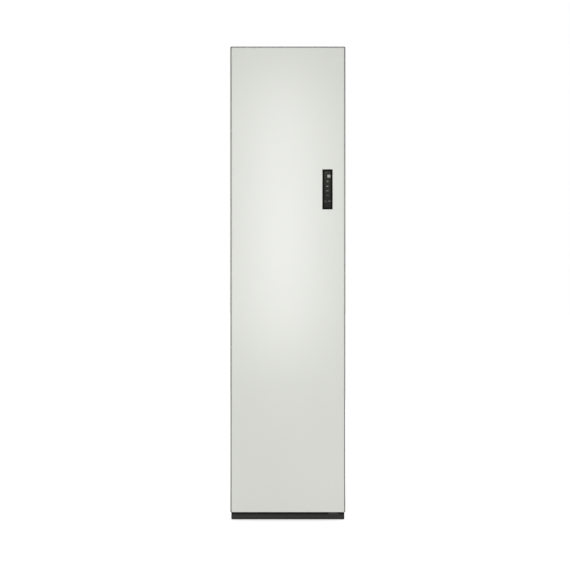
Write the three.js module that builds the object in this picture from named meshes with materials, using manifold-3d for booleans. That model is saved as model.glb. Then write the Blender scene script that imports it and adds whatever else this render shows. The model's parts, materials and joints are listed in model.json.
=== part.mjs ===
// A clothes care steam cabinet with its door shut, in millimetres.
// +Z is up, the door faces -Y, and the origin is on the floor under the middle of the cabinet.
// The door and the cabinet are built as they come apart: sheet metal casing, front frame, moulded
// chamber, tank bay, heat pump in the base, fan and electronics under the top cover.

import * as THREE from "three";
import { mergeVertices } from "three/addons/utils/BufferGeometryUtils.js";
import Module from "manifold-3d";

const wasm = await Module();
wasm.setup();

// Overall size, door shut.
const width = 445;
const depth = 632;
const height = 1850;

// Clearances and thicknesses used all over.
const fit = 0.3; // between two pieces that touch
const overrun = 5; // how far a cut runs past the face that it opens
const sheet = 1.2; // painted steel sheet
const wall = 2.5; // moulded plastic wall
const roundSides = 18; // sides of a round piece
const fineSides = 28; // sides of a large round piece

// Door.
const doorThickness = 58;
const doorGap = 10; // between the door's back and the cabinet's front frame
const doorDrop = 10; // the door's top edge below the highest point
const doorFloorGap = 41.4; // the door's bottom edge above the floor
const sideEdge = 4.5; // metal edge seen beside the front panel
const topEdge = 3.7; // metal edge seen above the front panel
const frameSetback = 1.5; // metal edge behind the panel's face
const frameCorner = 5; // radius of the upper corners
const panelThickness = 5;
const panelBevel = 2.4; // rounding of the panel's front edges
const doorLinerThickness = 3;
const linerField = 6; // how far the liner's raised field stands out
const linerFieldMargin = 46; // from the door's edge to the raised field
const linerFieldCorner = 18;
const topCapHeight = 20;
const bottomCapHeight = 18;
const capWall = 3;
const hingeBlock = 44; // solid end of each cap round its hinge bush

// Gasket on the door's back.
const gasketWidth = 14;
const gasketOverlap = 16; // how far its outer edge lies on the front frame
const gasketCorner = 12;

// Grip channel in the door's free side.
const gripLength = 450;
const gripRise = 984; // its middle above the door's bottom edge
const gripWidth = 34;
const gripSetback = 11; // behind the door's face
const gripDepth = 26;
const gripWall = 2;

// Control window and its board.
const windowWidth = 39.2;
const windowHeight = 154.8;
const windowInset = 49.9; // from the door's right edge
const windowDrop = 474.5; // from the door's top edge
const windowSink = 0.2; // behind the panel's face
const windowThickness = 3;
const windowCorner = 1.5;
const boardThickness = 1.6;
const controlPost = 3.2; // height of the board's posts
const controlPostSize = 4;
const controlPart = 5; // height of the parts on the board
const boardMargin = 2; // board edge inside the window's edge

// Door hinges.
const pinInset = 14; // from the door's right edge
const pinSetback = 28; // from the door's face
const pinRadius = 5;
const pinReach = 15; // how far each pin runs into the door
const armClearance = 0.6; // upper arm above the door
const armThickness = 2;
const armRadius = 11;
const upperPlateWidth = 34;
const upperPlateDepth = 44;
const upperPlateSetback = 8; // behind the front frame's face
const hingeCoverWall = 1.6;
const hingeCoverReach = 26; // in front of the front frame's face
const hingeCoverTail = 12; // past the hinge plate's back edge
const hingeCoverSlope = 12;
const hingeCoverStep = 4; // bevel of its rear top edge
const washerGap = 1.9; // lower arm under the door
const lowerArmThickness = 3.5;
const bracketInset = 24.5; // from the door's right edge to the lower bracket's body
const bracketWidth = 38;
const bracketReach = 27; // in front of the front frame's face

// Plinth and base.
const baseBottom = 22;
const baseHeight = 21.7;
const baseSheet = 1.5;
const baseSetback = 4; // behind the front frame's face
const bossRadius = 12;
const bossHeight = 10;
const kickBottom = 3;
const kickTop = 24;
const kickWall = 3;
const kickReach = 18; // in front of the front frame's face
const kickReturn = 66; // length of the kick plate's side walls
const kickBossInset = 22.5; // from the left edge to the blanking boss
const kickBossWidth = 38;
const kickBossHeight = 9;

// Levelling feet.
const footInset = 23; // from the side of the cabinet
const footFrontSetback = 33; // from the front frame's face
const footRearSetback = 42; // from the casing's back
const footRadius = 17;
const footPad = 9;
const footEdge = 3; // bevel round the pad
const footNut = 6;
const footNutRadius = 9;
const footStud = 37; // stud above the nut
const studRadius = 5;

// Steel casing.
const glandHead = 4; // how far the rear cord gland stands out of the casing
const sideBottom = 24;
const rearReturn = 16.5;
const coverFlange = 14;

// Front frame.
const frameDepth = 12;
const frameStile = 31;
const frameBottomRail = 32;
const frameTopRail = 38.8;
const frameOpeningCorner = 8;

// Garment chamber.
const machineHeight = 376; // chamber floor above the front frame's bottom edge
const upperModule = 148.8; // space above the chamber's ceiling
const linerReveal = 4; // chamber wall inside the frame's opening
const chamberBackInset = 86; // chamber's back wall from the highest point of the back
const linerFlange = 11.5; // flange behind the front frame
const backRibs = 5;
const backRibWidth = 10;
const backRibDepth = 3;
const backRibMarginShare = 0.08; // ribs end this share of the height from floor and ceiling
const airSlotWidth = 120;
const airSlotHeight = 5;
const airSlots = 6;
const airSlotPitch = 12;
const airSlotRise = 26; // lowest slot above the chamber's floor

// Shelf and its ledges.
const shelfRise = 100.3; // top face above the chamber's floor
const shelfThickness = 6;
const shelfSideGap = 2;
const shelfBackGap = 3; // to the ribs of the back wall
const shelfFrontSetback = 14;
const shelfRim = 16;
const shelfSlots = 13;
const shelfBarShare = 0.45; // bar share of each slot's pitch
const ledgeWidth = 8;
const ledgeThickness = 6;

// Hangers and their ceiling sockets.
const hangerPitch = 112;
const hangerSpan = 400;
const hangerDrop = 78;
const hangerThickness = 14;
const hangerArmHeight = 24;
const hangerCrownShare = 0.25; // rise of the shoulders' middle, as a share of the arm's height
const neckRadius = 12;
const neckBore = 8;
const neckLength = 44;
const neckBoreDepth = 30;
const neckAir = 1; // height of the air slots in the neck's rim
const socketWall = 6;
const socketDepth = 22;

// Chamber lamp.
const lampWidth = 140;
const lampDepth = 20;
const lampLip = 4;
const lampLipThickness = 3.2;
const lampBody = 10;
const lampSetback = 14; // behind the chamber's front edge

// Lint filter and its well.
const filterWidth = 74;
const filterLength = 190;
const filterDepth = 34;
const filterWall = 2;
const filterInset = 8; // from the chamber's left wall
const filterSetback = 24; // behind the tank bay
const filterLip = 4;
const filterLipThickness = 3;
const filterGap = 1;
const filterBars = 4;
const filterBarThickness = 2;
const filterHandle = 12;
const filterHandleHeight = 9;

// Tank bay and water tanks.
const bayDepth = 176;
const bayFloorRise = 152; // bay floor above the front frame's bottom edge
const tankSideGap = 2.5;
const tankHeadroom = 9;
const tankRecess = 46; // tank fronts behind the front frame's back
const tankTail = 4; // behind the tank
const tankWall = 2.5;
const tankCorner = 6;
const lidThickness = 4;
const fillerRadius = 18;
const fillerSetback = 32;
const handleWidth = 96;
const handleHeight = 30;
const handleDepth = 20;
const handleDrop = 14; // below the tank's rim

// Heat pump case with its exchangers.
const caseHeight = 167; // under the chamber's floor panel
const legSize = 16;
const exchangerFins = 8;
const finGapShare = 0.35; // gap share of each fin's pitch
const evaporatorWidth = 50;
const condenserWidth = 42;
const exchangerEndGap = 8;
const exchangerHeadroom = 8; // under the filter well
const exchangerGap = 8; // between the two
const exchangerFanGap = 23.5; // between the condenser and the fan wheel
const ductHalfWidth = 110;
const ductWall = 2;
const ductDepth = 67;
const ductOutletHeight = 90;
const ductOutletRise = 28; // above the case floor

// Compressor and pipes.
const compressorRadius = 58;
const compressorHeight = 172;
const compressorShoulder = 16;
const compressorY = 148;
const compressorFoot = 8;
const compressorFootRadius = 68;
const pipeRadius = 4;
const pipeRise = 22;
const pipeRun = 40;

// Fans.
const lowerFanRadius = 62;
const lowerFanHeight = 46;
const lowerFanWallGap = 29.5; // to the case's right wall
const lowerFanY = 100;
const upperFanRadius = 75;
const upperFanHeight = 45;
const fanBlades = 12;
const fanPlate = 2.5;
const fanBladeThickness = 1.6;
const fanRing = 8; // radial width of the blade ring
const fanHub = 12;
const fanFloorGap = 26; // wheel above the panel under it
const shaftRadius = 4;
const motorRadius = 38;
const motorHeight = 40;
const motorFlange = 3;
const motorFlangeExtra = 7;

// Steam generator and its pipe.
const boilerWidth = 84;
const boilerDepth = 66;
const boilerHeight = 88;
const boilerFootGap = 0.5; // to the rear right foot
const boilerBackGap = 8;
const boilerCorner = 14;
const boilerFoot = 5;
const steamPipeRadius = 6;
const steamPipeBend = 20;
const nozzleRise = 34; // above the chamber's floor
const nozzleRadius = 15;
const nozzleDepth = 7;
const nozzleHole = 4;

// Pumps.
const pumpRadius = 20;
const pumpLength = 58;
const pumpBase = 6;
const pumpPort = 5;
const pumpPortLength = 16;
const feedPumpX = 62;
const drainPumpX = -62;
const pumpY = -4;

// Upper plenum and electronics.
const plenumHalfWidth = 150;
const plenumHeight = 87;
const caseTrayHeight = 44;
const caseTrayWidth = 190;
const caseTrayDepth = 140;
const caseTrayX = -70;
const caseTrayWall = 2;
const caseTrayGap = 12; // in front of the plenum
const caseTrayLampGap = 10; // behind the chamber lamp
const mainBoardGap = 5;
const mainBoardPost = 6;
const mainBoardPostRadius = 4;
const chipWidth = 36;
const capacitorRadius = 9;

// Rear service cover and cord gland.
const serviceGap = 2; // cover's edge from the casing's edges
const serviceBend = 8;
const louvres = 7;
const louvreWidth = 240;
const louvreHeight = 5;
const louvrePitch = 18;
const louvreRise = 74;
const glandRadius = 13;
const glandBore = 5;
const glandNut = 10;
const glandInset = 64; // from the cover's left edge
const glandRise = 38; // above the cover's lower edge

// Planes and levels that follow from the sizes above.
const halfWidth = width / 2;
const doorFront = -depth / 2;
const doorBack = doorFront + doorThickness;
const frontFace = doorBack + doorGap;
const casingBack = depth / 2 - glandHead;
const doorTop = height - doorDrop;
const doorHeight = doorTop - doorFloorGap;
const armBottom = doorTop + armClearance;
const armTop = armBottom + armThickness;
const coverTop = armBottom - fit;
const coverUnder = coverTop - sheet;
const sideTop = coverUnder - fit;
const sideInner = halfWidth - sheet;
const casingInner = sideInner - fit;
const baseTop = baseBottom + baseHeight;
const baseFloor = baseBottom + baseSheet;
const baseFront = frontFace + baseSetback;
const baseBack = casingBack - sheet - fit;
const frameBottom = baseTop + fit;
const frameBack = frontFace + frameDepth;
const openingHalf = casingInner - frameStile;
const openingBottom = frameBottom + frameBottomRail;
const openingTop = sideTop - frameTopRail;
const chamberHalf = openingHalf - linerReveal;
const chamberOuter = chamberHalf + wall;
const chamberFront = frameBack + fit;
const chamberBack = depth / 2 - chamberBackInset;
const chamberFloor = frameBottom + machineHeight;
const chamberCeiling = sideTop - upperModule;
const chamberMiddle = (chamberFront + chamberBack) / 2;
const flangeHalf = chamberOuter + linerFlange;
const floorUnder = chamberFloor - wall;
const bayTop = floorUnder - fit;
const bayBack = chamberFront + bayDepth;
const bayFloor = frameBottom + bayFloorRise;
const caseFloor = bayTop - caseHeight;
const caseFront = bayBack + fit;
const caseBack = chamberBack + wall;
const ceilingTop = chamberCeiling + wall;
const lampY = [chamberFront + lampSetback, chamberFront + lampSetback + lampDepth];
const caseTrayY = [lampY[1] + caseTrayLampGap, lampY[1] + caseTrayLampGap + caseTrayDepth];
const plenumFront = caseTrayY[1] + caseTrayGap;
const upperFanY = (plenumFront + caseBack) / 2;
const lowerFanX = chamberHalf - wall - lowerFanWallGap - lowerFanRadius;
const compressorX = legSize + compressorFootRadius - chamberHalf;
const boilerX = halfWidth - footInset - footRadius - boilerFootGap - boilerWidth / 2;
const steamPipeX = (ductHalfWidth + chamberHalf) / 2;
const pinX = halfWidth - pinInset;
const pinY = doorFront + pinSetback;
const bushRadius = pinRadius + fit;
const boreRadius = studRadius + fit;

// Colours and finishes.
const looks = {
  doorWhite: { color: 0xe6e6e1, roughness: 0.38, metalness: 0 },
  edgeGrey: { color: 0x8d8e8c, roughness: 0.4, metalness: 0.6 },
  casingGrey: { color: 0x8f918f, roughness: 0.5, metalness: 0.1 },
  plinthBlack: { color: 0x2f3032, roughness: 0.55, metalness: 0 },
  blackGlass: { color: 0x0c0d0f, roughness: 0.12, metalness: 0 },
  chamberGrey: { color: 0xd3d4d2, roughness: 0.5, metalness: 0 },
  innerGrey: { color: 0xb4b6b5, roughness: 0.55, metalness: 0 },
  darkPlastic: { color: 0x46494b, roughness: 0.5, metalness: 0 },
  zincSteel: { color: 0xa8adaf, roughness: 0.45, metalness: 0.9 },
  finAluminium: { color: 0xc6cacc, roughness: 0.35, metalness: 0.9 },
  blackSteel: { color: 0x1d1e20, roughness: 0.45, metalness: 0.3 },
  copper: { color: 0xb87347, roughness: 0.3, metalness: 1 },
  tankPlastic: { color: 0x9fb0b8, roughness: 0.2, metalness: 0 },
  gasketRubber: { color: 0x8b8d8e, roughness: 0.8, metalness: 0 },
  footRubber: { color: 0x262627, roughness: 0.85, metalness: 0 },
  foam: { color: 0xe9dfbd, roughness: 0.95, metalness: 0 },
  boardGreen: { color: 0x245c3e, roughness: 0.5, metalness: 0 },
  lampWhite: { color: 0xf4f4ee, roughness: 0.3, metalness: 0 },
};

// A solid made from a closed three.js geometry.
function solidFrom(geometry) {
  const bare = geometry.clone();
  bare.deleteAttribute("normal");
  bare.deleteAttribute("uv");
  const merged = mergeVertices(bare);
  const data = { numProp: 3 };
  data.vertProperties = merged.attributes.position.array;
  data.triVerts = new Uint32Array(merged.index.array);
  return new wasm.Manifold(new wasm.Mesh(data));
}

// A block that spans the three given ranges.
function block([x0, x1], [y0, y1], [z0, z1]) {
  const geometry = new THREE.BoxGeometry(x1 - x0, y1 - y0, z1 - z0);
  geometry.translate((x0 + x1) / 2, (y0 + y1) / 2, (z0 + z1) / 2);
  return solidFrom(geometry);
}

// Round rods along Z and along Y; the point holds the two other coordinates.
function rodZ(radius, [x, y], [z0, z1], sides = roundSides) {
  const geometry = new THREE.CylinderGeometry(radius, radius, z1 - z0, sides);
  geometry.rotateX(Math.PI / 2);
  geometry.translate(x, y, (z0 + z1) / 2);
  return solidFrom(geometry);
}

function rodY(radius, [x, z], [y0, y1], sides = roundSides) {
  const geometry = new THREE.CylinderGeometry(radius, radius, y1 - y0, sides);
  geometry.translate(x, (y0 + y1) / 2, z);
  return solidFrom(geometry);
}

// A rectangle with round corners, given by its two ranges.
function roundedOutline([u0, u1], [v0, v1], radius) {
  const outline = new THREE.Shape();
  outline.moveTo(u0 + radius, v0);
  outline.lineTo(u1 - radius, v0);
  outline.absarc(u1 - radius, v0 + radius, radius, -Math.PI / 2, 0);
  outline.lineTo(u1, v1 - radius);
  outline.absarc(u1 - radius, v1 - radius, radius, 0, Math.PI / 2);
  outline.lineTo(u0 + radius, v1);
  outline.absarc(u0 + radius, v1 - radius, radius, Math.PI / 2, Math.PI);
  outline.lineTo(u0, v0 + radius);
  outline.absarc(u0 + radius, v0 + radius, radius, Math.PI, Math.PI * 1.5);
  return outline;
}

// An outline in X and Z, drawn out along Y.
function alongY(outline, [y0, y1], bevel = 0) {
  const geometry = new THREE.ExtrudeGeometry(outline, {
    depth: y1 - y0 - 2 * bevel,
    bevelEnabled: bevel > 0,
    bevelThickness: bevel,
    bevelSize: bevel,
    bevelOffset: -bevel,
    bevelSegments: 3,
    curveSegments: 3,
  });
  geometry.rotateX(Math.PI / 2);
  geometry.translate(0, y1 - bevel, 0);
  return solidFrom(geometry);
}

// An outline in X and Y, drawn out along Z.
function alongZ(outline, [z0, z1]) {
  const geometry = new THREE.ExtrudeGeometry(outline, {
    depth: z1 - z0,
    bevelEnabled: false,
    curveSegments: 4,
  });
  geometry.translate(0, 0, z0);
  return solidFrom(geometry);
}

// An outline in Y and Z, drawn out along X.
function alongX(outline, [x0, x1]) {
  const geometry = new THREE.ExtrudeGeometry(outline, {
    depth: x1 - x0,
    bevelEnabled: false,
    curveSegments: 6,
  });
  geometry.rotateX(Math.PI / 2);
  geometry.rotateZ(Math.PI / 2);
  geometry.translate(x0, 0, 0);
  return solidFrom(geometry);
}

// A round pipe along a list of points, with each corner turned by a bend of the given radius.
function pipeAlong(points, radius, bend) {
  const path = new THREE.CurvePath();
  let from = points[0];
  points.slice(1, -1).forEach((corner, index) => {
    const back = from.clone().sub(corner).setLength(bend);
    const on = points[index + 2].clone().sub(corner).setLength(bend);
    const start = corner.clone().add(back);
    const end = corner.clone().add(on);
    path.add(new THREE.LineCurve3(from, start));
    path.add(new THREE.QuadraticBezierCurve3(start, corner, end));
    from = end;
  });
  path.add(new THREE.LineCurve3(from, points.at(-1)));
  const section = new THREE.Shape();
  section.absarc(0, 0, radius, 0, 2 * Math.PI);
  return solidFrom(
    new THREE.ExtrudeGeometry(section, { steps: 30, curveSegments: 4, extrudePath: path }),
  );
}

function joined(...solids) {
  return solids.reduce((sum, next) => sum.add(next));
}

function cut(solid, ...tools) {
  return tools.reduce((rest, tool) => rest.subtract(tool), solid);
}

// A named mesh with its own material.
function piece(name, solid, look) {
  const { vertProperties, triVerts } = solid.getMesh();
  const geometry = new THREE.BufferGeometry();
  geometry.setAttribute("position", new THREE.BufferAttribute(vertProperties, 3));
  geometry.setIndex(new THREE.BufferAttribute(triVerts, 1));
  geometry.computeVertexNormals();
  const mesh = new THREE.Mesh(geometry, new THREE.MeshStandardMaterial(looks[look]));
  mesh.name = name;
  return mesh;
}

// A range of the given size about its middle, and one widened or narrowed at both ends.
const about = (middle, size) => [middle - size / 2, middle + size / 2];
const grown = ([from, to], by) => [from - by, to + by];

// Door. Its group stands at the door's front lower edge: y runs back from the face, z up from the bottom.
function makeDoor() {
  const door = new THREE.Group();
  door.position.set(0, doorFront, doorFloorGap);
  const panelHalf = halfWidth - sideEdge;
  const panelTop = doorHeight - topEdge;
  const frameInner = panelHalf + fit;
  const frameUnder = panelTop + fit;
  const coreHalf = frameInner - fit;
  const coreFront = panelThickness + fit;
  const linerFront = doorThickness - doorLinerThickness;
  const coreBack = linerFront - fit;
  const topCapTop = frameUnder - fit;
  const topCapBottom = topCapTop - topCapHeight;
  const pin = [pinX, pinSetback];
  const grip = {
    y: [gripSetback, gripSetback + gripWidth],
    z: about(gripRise, gripLength),
    inner: -halfWidth + gripDepth + gripWall,
  };
  const glass = {
    x: [halfWidth - windowInset - windowWidth, halfWidth - windowInset],
    z: [doorHeight - windowDrop - windowHeight, doorHeight - windowDrop],
  };

  // Front panel: only its front edges are rounded, so the rear half of a thicker plate is cut away.
  const plate = alongY(
    roundedOutline([-panelHalf, panelHalf], [0, panelTop], frameCorner - panelBevel / 2),
    [0, panelThickness + 2 * panelBevel],
    panelBevel,
  );
  const frontPanel = cut(
    plate,
    block(grown([-panelHalf, panelHalf], overrun), [panelThickness, doorThickness], [-overrun, doorHeight]),
    alongY(roundedOutline(grown(glass.x, fit), grown(glass.z, fit), windowCorner + fit), [
      -overrun,
      panelThickness + overrun,
    ]),
  );

  // Metal frame: an arch of two sides and a top.
  const outline = new THREE.Shape();
  outline.moveTo(-halfWidth, 0);
  outline.lineTo(halfWidth, 0);
  outline.lineTo(halfWidth, doorHeight - frameCorner);
  outline.absarc(halfWidth - frameCorner, doorHeight - frameCorner, frameCorner, 0, Math.PI / 2);
  outline.lineTo(-halfWidth + frameCorner, doorHeight);
  outline.absarc(-halfWidth + frameCorner, doorHeight - frameCorner, frameCorner, Math.PI / 2, Math.PI);
  const frame = cut(
    alongY(outline, [frameSetback, doorThickness]),
    block([-frameInner, frameInner], [-overrun, doorThickness + overrun], [-overrun, frameUnder]),
    block([-halfWidth - overrun, 0], grip.y, grip.z),
    rodZ(bushRadius, pin, [frameUnder - overrun, doorHeight + overrun]),
  );

  // Foam core with pockets for the grip channel and the control board.
  const foam = cut(
    block([-coreHalf, coreHalf], [coreFront, coreBack], [bottomCapHeight + fit, topCapBottom - fit]),
    block([-halfWidth - overrun, grip.inner + fit], grip.y, grip.z),
    block(
      grown(glass.x, fit),
      [0, coreFront + controlPost + boardThickness + 2 * controlPart],
      grown(glass.z, fit),
    ),
  );

  // Caps that close the door's ends and hold the hinge bushes.
  const capEnd = pinX - hingeBlock / 2;
  const capX = [-coreHalf, coreHalf];
  const capY = [coreFront, coreBack];
  const pocketX = [-coreHalf + capWall, capEnd];
  const pocketY = grown(capY, -capWall);
  const topCap = cut(
    block(capX, capY, [topCapBottom, topCapTop]),
    block(pocketX, pocketY, [topCapBottom - overrun, topCapTop - capWall]),
    rodZ(bushRadius, pin, [topCapBottom - overrun, topCapTop + overrun]),
  );
  const bottomCap = cut(
    block(capX, capY, [0, bottomCapHeight]),
    block(pocketX, pocketY, [capWall, bottomCapHeight + overrun]),
    rodZ(bushRadius, pin, [-overrun, bottomCapHeight + overrun]),
  );

  // Inner liner with a raised field that stands inside the gasket.
  const fieldX = grown([-halfWidth, halfWidth], -linerFieldMargin);
  const fieldZ = [openingBottom - doorFloorGap, openingTop - doorFloorGap];
  const raisedZ = grown(fieldZ, fieldX[1] - openingHalf);
  const raised = (inset, y) =>
    alongY(roundedOutline(grown(fieldX, -inset), grown(raisedZ, -inset), linerFieldCorner - inset), y);
  const liner = cut(
    joined(
      block([-coreHalf, coreHalf], [linerFront, doorThickness], [0, topCapTop]),
      raised(0, [doorThickness - doorLinerThickness / 2, doorThickness + linerField]),
    ),
    raised(doorLinerThickness, [linerFront - overrun, doorThickness + linerField - doorLinerThickness]),
  );

  // Gasket on the liner, facing the front frame.
  const sealHalf = openingHalf + gasketOverlap;
  const sealZ = grown(fieldZ, gasketOverlap);
  const sealY = [doorThickness + fit, doorThickness + doorGap - fit];
  const gasket = cut(
    alongY(roundedOutline([-sealHalf, sealHalf], sealZ, gasketCorner), sealY),
    alongY(
      roundedOutline(
        grown([-sealHalf, sealHalf], -gasketWidth),
        grown(sealZ, -gasketWidth),
        gasketCorner / 2,
      ),
      grown(sealY, overrun),
    ),
  );

  // Grip channel, open towards the door's free side.
  const channel = cut(
    block([-halfWidth, grip.inner], grown(grip.y, -fit), grown(grip.z, -fit)),
    block(
      [-halfWidth - overrun, grip.inner - gripWall],
      grown(grip.y, -fit - gripWall),
      grown(grip.z, -fit - gripWall),
    ),
  );

  // Black glass, and the board behind it on four posts.
  const glassY = [windowSink, windowSink + windowThickness];
  const pane = alongY(roundedOutline(glass.x, glass.z, windowCorner), glassY);
  const boardX = grown(glass.x, -boardMargin);
  const boardZ = grown(glass.z, -boardMargin);
  const postY = [glassY[1] + fit, glassY[1] + fit + controlPost + boardThickness];
  const postX = [[boardX[0], boardX[0] + controlPostSize], [boardX[1] - controlPostSize, boardX[1]]];
  const postZ = [[boardZ[0], boardZ[0] + controlPostSize], [boardZ[1] - controlPostSize, boardZ[1]]];
  const board = joined(
    block(boardX, [postY[1] - boardThickness, postY[1]], boardZ),
    ...postX.flatMap((x) => postZ.map((z) => block(x, postY, z))),
    block(
      grown(boardX, -controlPostSize),
      [postY[1] - boardThickness / 2, postY[1] + controlPart],
      grown(boardZ, -windowWidth),
    ),
  );

  door.add(
    piece("door_front_panel", frontPanel, "doorWhite"),
    piece("door_frame", frame, "edgeGrey"),
    piece("door_foam", foam, "foam"),
    piece("door_top_cap", topCap, "darkPlastic"),
    piece("door_bottom_cap", bottomCap, "darkPlastic"),
    piece("door_liner", liner, "chamberGrey"),
    piece("door_gasket", gasket, "gasketRubber"),
    piece("grip_moulding", channel, "darkPlastic"),
    piece("control_window", pane, "blackGlass"),
    piece("control_board", board, "boardGreen"),
  );
  return door;
}

// Upper hinge: a plate on the top cover whose arm carries a pin down into the door.
function makeUpperHinge() {
  const hinge = new THREE.Group();
  const plateY = [frontFace + upperPlateSetback, frontFace + upperPlateSetback + upperPlateDepth];
  const armX = about(pinX, 2 * armRadius);
  const plateX = [armX[1] - upperPlateWidth, armX[1]];
  const level = [armBottom, armTop];
  const bracket = joined(
    rodZ(armRadius, [pinX, pinY], level),
    block(armX, [pinY, plateY[0] + overrun], level),
    block(plateX, plateY, level),
    rodZ(pinRadius, [pinX, pinY], [doorTop - topEdge - pinReach, armTop]),
  );
  const coverX = grown(plateX, hingeCoverWall + fit);
  const coverY = [frontFace - hingeCoverReach, plateY[1] + hingeCoverTail];
  const profile = new THREE.Shape();
  profile.moveTo(coverY[0], armBottom);
  profile.lineTo(coverY[1], armBottom);
  profile.lineTo(coverY[1], height - hingeCoverStep);
  profile.lineTo(coverY[1] - hingeCoverStep, height);
  profile.lineTo(coverY[0] + hingeCoverSlope, height);
  profile.lineTo(coverY[0], armTop + hingeCoverWall);
  const inside = new THREE.Shape();
  inside.moveTo(coverY[0] + hingeCoverSlope, armBottom - overrun);
  inside.lineTo(coverY[1] - hingeCoverWall, armBottom - overrun);
  inside.lineTo(coverY[1] - hingeCoverWall, height - hingeCoverStep - hingeCoverWall);
  inside.lineTo(coverY[0] + hingeCoverSlope, height - hingeCoverStep - hingeCoverWall);
  const cover = cut(
    alongX(profile, coverX),
    alongX(inside, grown(coverX, -hingeCoverWall)),
    block(coverX.map((x, i) => (i ? x + overrun : x - overrun)), [coverY[0] - overrun, frontFace], [
      armBottom - overrun,
      armTop + fit,
    ]),
    block(grown(armX, fit), [coverY[0] - overrun, plateY[0] + fit], [armBottom - overrun, armTop + fit]),
  );
  hinge.add(
    piece("upper_hinge_bracket", bracket, "zincSteel"),
    piece("upper_hinge_cover", cover, "casingGrey"),
  );
  return hinge;
}

// Lower hinge: a bracket on the base whose arm carries a pin up into the door.
function makeLowerHinge() {
  const armUpper = doorFloorGap - washerGap;
  const level = [armUpper - lowerArmThickness, armUpper];
  const bodyX = [halfWidth - bracketInset - bracketWidth, halfWidth - bracketInset];
  const bodyY = [frontFace - bracketReach, baseFront - fit];
  const bracket = joined(
    block(bodyX, bodyY, [kickTop + fit, armUpper]),
    block([bodyX[0], pinX + armRadius], [bodyY[0], frontFace - 2 * fit], level),
    block(about(pinX, 2 * armRadius), [pinY, frontFace - 2 * fit], level),
    rodZ(armRadius, [pinX, pinY], level),
    rodZ(pinRadius, [pinX, pinY], [level[0], doorFloorGap + pinReach]),
  );
  return piece("lower_hinge_bracket", bracket, "blackSteel");
}

// Plinth: a dark plate with side walls under the base and a ledge that closes the slot under the door.
function makeKickPlate() {
  const x = [-casingInner, casingInner];
  const front = frontFace - kickReach;
  const bossX = [-halfWidth + kickBossInset, -halfWidth + kickBossInset + kickBossWidth];
  const plate = joined(
    block(x, [front, front + kickWall], [kickBottom, kickTop]),
    block(x, [front, baseFront - fit], [kickTop - kickWall, kickTop]),
    block([x[0], x[0] + kickWall], [front, front + kickReturn], [kickBottom, baseBottom - fit]),
    block([x[1] - kickWall, x[1]], [front, front + kickReturn], [kickBottom, baseBottom - fit]),
    block(bossX, [front + kickWall, baseFront - fit], [kickTop - kickWall, kickTop + kickBossHeight]),
  );
  return piece("kick_plate", plate, "plinthBlack");
}

const footPlaces = [
  ["front_left_foot", -halfWidth + footInset, frontFace + footFrontSetback],
  ["front_right_foot", halfWidth - footInset, frontFace + footFrontSetback],
  ["rear_left_foot", -halfWidth + footInset, casingBack - footRearSetback],
  ["rear_right_foot", halfWidth - footInset, casingBack - footRearSetback],
];

// Base pan: a steel tray with a threaded boss for each foot.
function makeBasePan() {
  const x = [-casingInner, casingInner];
  const y = [baseFront, baseBack];
  const bosses = footPlaces.map(([, fx, fy]) =>
    rodZ(bossRadius, [fx, fy], [baseBottom, baseFloor + bossHeight]),
  );
  const bores = footPlaces.map(([, fx, fy]) =>
    rodZ(boreRadius, [fx, fy], [baseBottom - overrun, baseFloor + bossHeight + overrun]),
  );
  const tray = cut(
    block(x, y, [baseBottom, baseTop]),
    block(grown(x, -baseSheet), grown(y, -baseSheet), [baseFloor, baseTop + overrun]),
  );
  return piece("base_pan", cut(joined(tray, ...bosses), ...bores), "blackSteel");
}

// Levelling foot: a pad with a rounded edge, a nut and a stud, turned about its own axis.
function makeFoot([name, x, y]) {
  const profile = [
    new THREE.Vector2(0, 0),
    new THREE.Vector2(footRadius - footEdge, 0),
    new THREE.Vector2(footRadius, footEdge),
    new THREE.Vector2(footRadius, footPad - footEdge),
    new THREE.Vector2(footRadius - footEdge, footPad),
    new THREE.Vector2(0, footPad),
  ];
  const pad = solidFrom(new THREE.LatheGeometry(profile, roundSides).rotateX(Math.PI / 2));
  const nut = rodZ(footNutRadius, [0, 0], [footPad / 2, footPad + footNut], 6);
  const stud = rodZ(studRadius, [0, 0], [footPad, footPad + footNut + footStud]);
  const foot = piece(name, joined(pad, nut, stud), "footRubber");
  foot.position.set(x, y, 0);
  return foot;
}

// Steel casing: two sides, a top cover, a back panel and a service cover low on the back.
function makeSidePanel(name, side) {
  const span = (a, b) => (side > 0 ? [a, b] : [-b, -a]);
  const z = [sideBottom, sideTop];
  const panel = joined(
    block(span(sideInner, halfWidth), [frontFace, casingBack], z),
    block(span(halfWidth - rearReturn, halfWidth), [casingBack - sheet, casingBack], z),
  );
  return piece(name, panel, "casingGrey");
}

function makeTopCover() {
  const flangeY = [chamberFront, baseBack];
  const flangeZ = [coverUnder - coverFlange, coverUnder + sheet / 2];
  const cover = joined(
    block([-halfWidth, halfWidth], [frontFace, casingBack], [coverUnder, coverTop]),
    block([-casingInner, -casingInner + sheet], flangeY, flangeZ),
    block([casingInner - sheet, casingInner], flangeY, flangeZ),
  );
  return piece("top_cover", cover, "casingGrey");
}

function makeBackPanel() {
  const half = casingInner - sheet - fit;
  const z = [chamberFloor + fit, coverUnder - fit];
  return piece("back_panel", block([-half, half], [baseBack - sheet, baseBack], z), "zincSteel");
}

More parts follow.
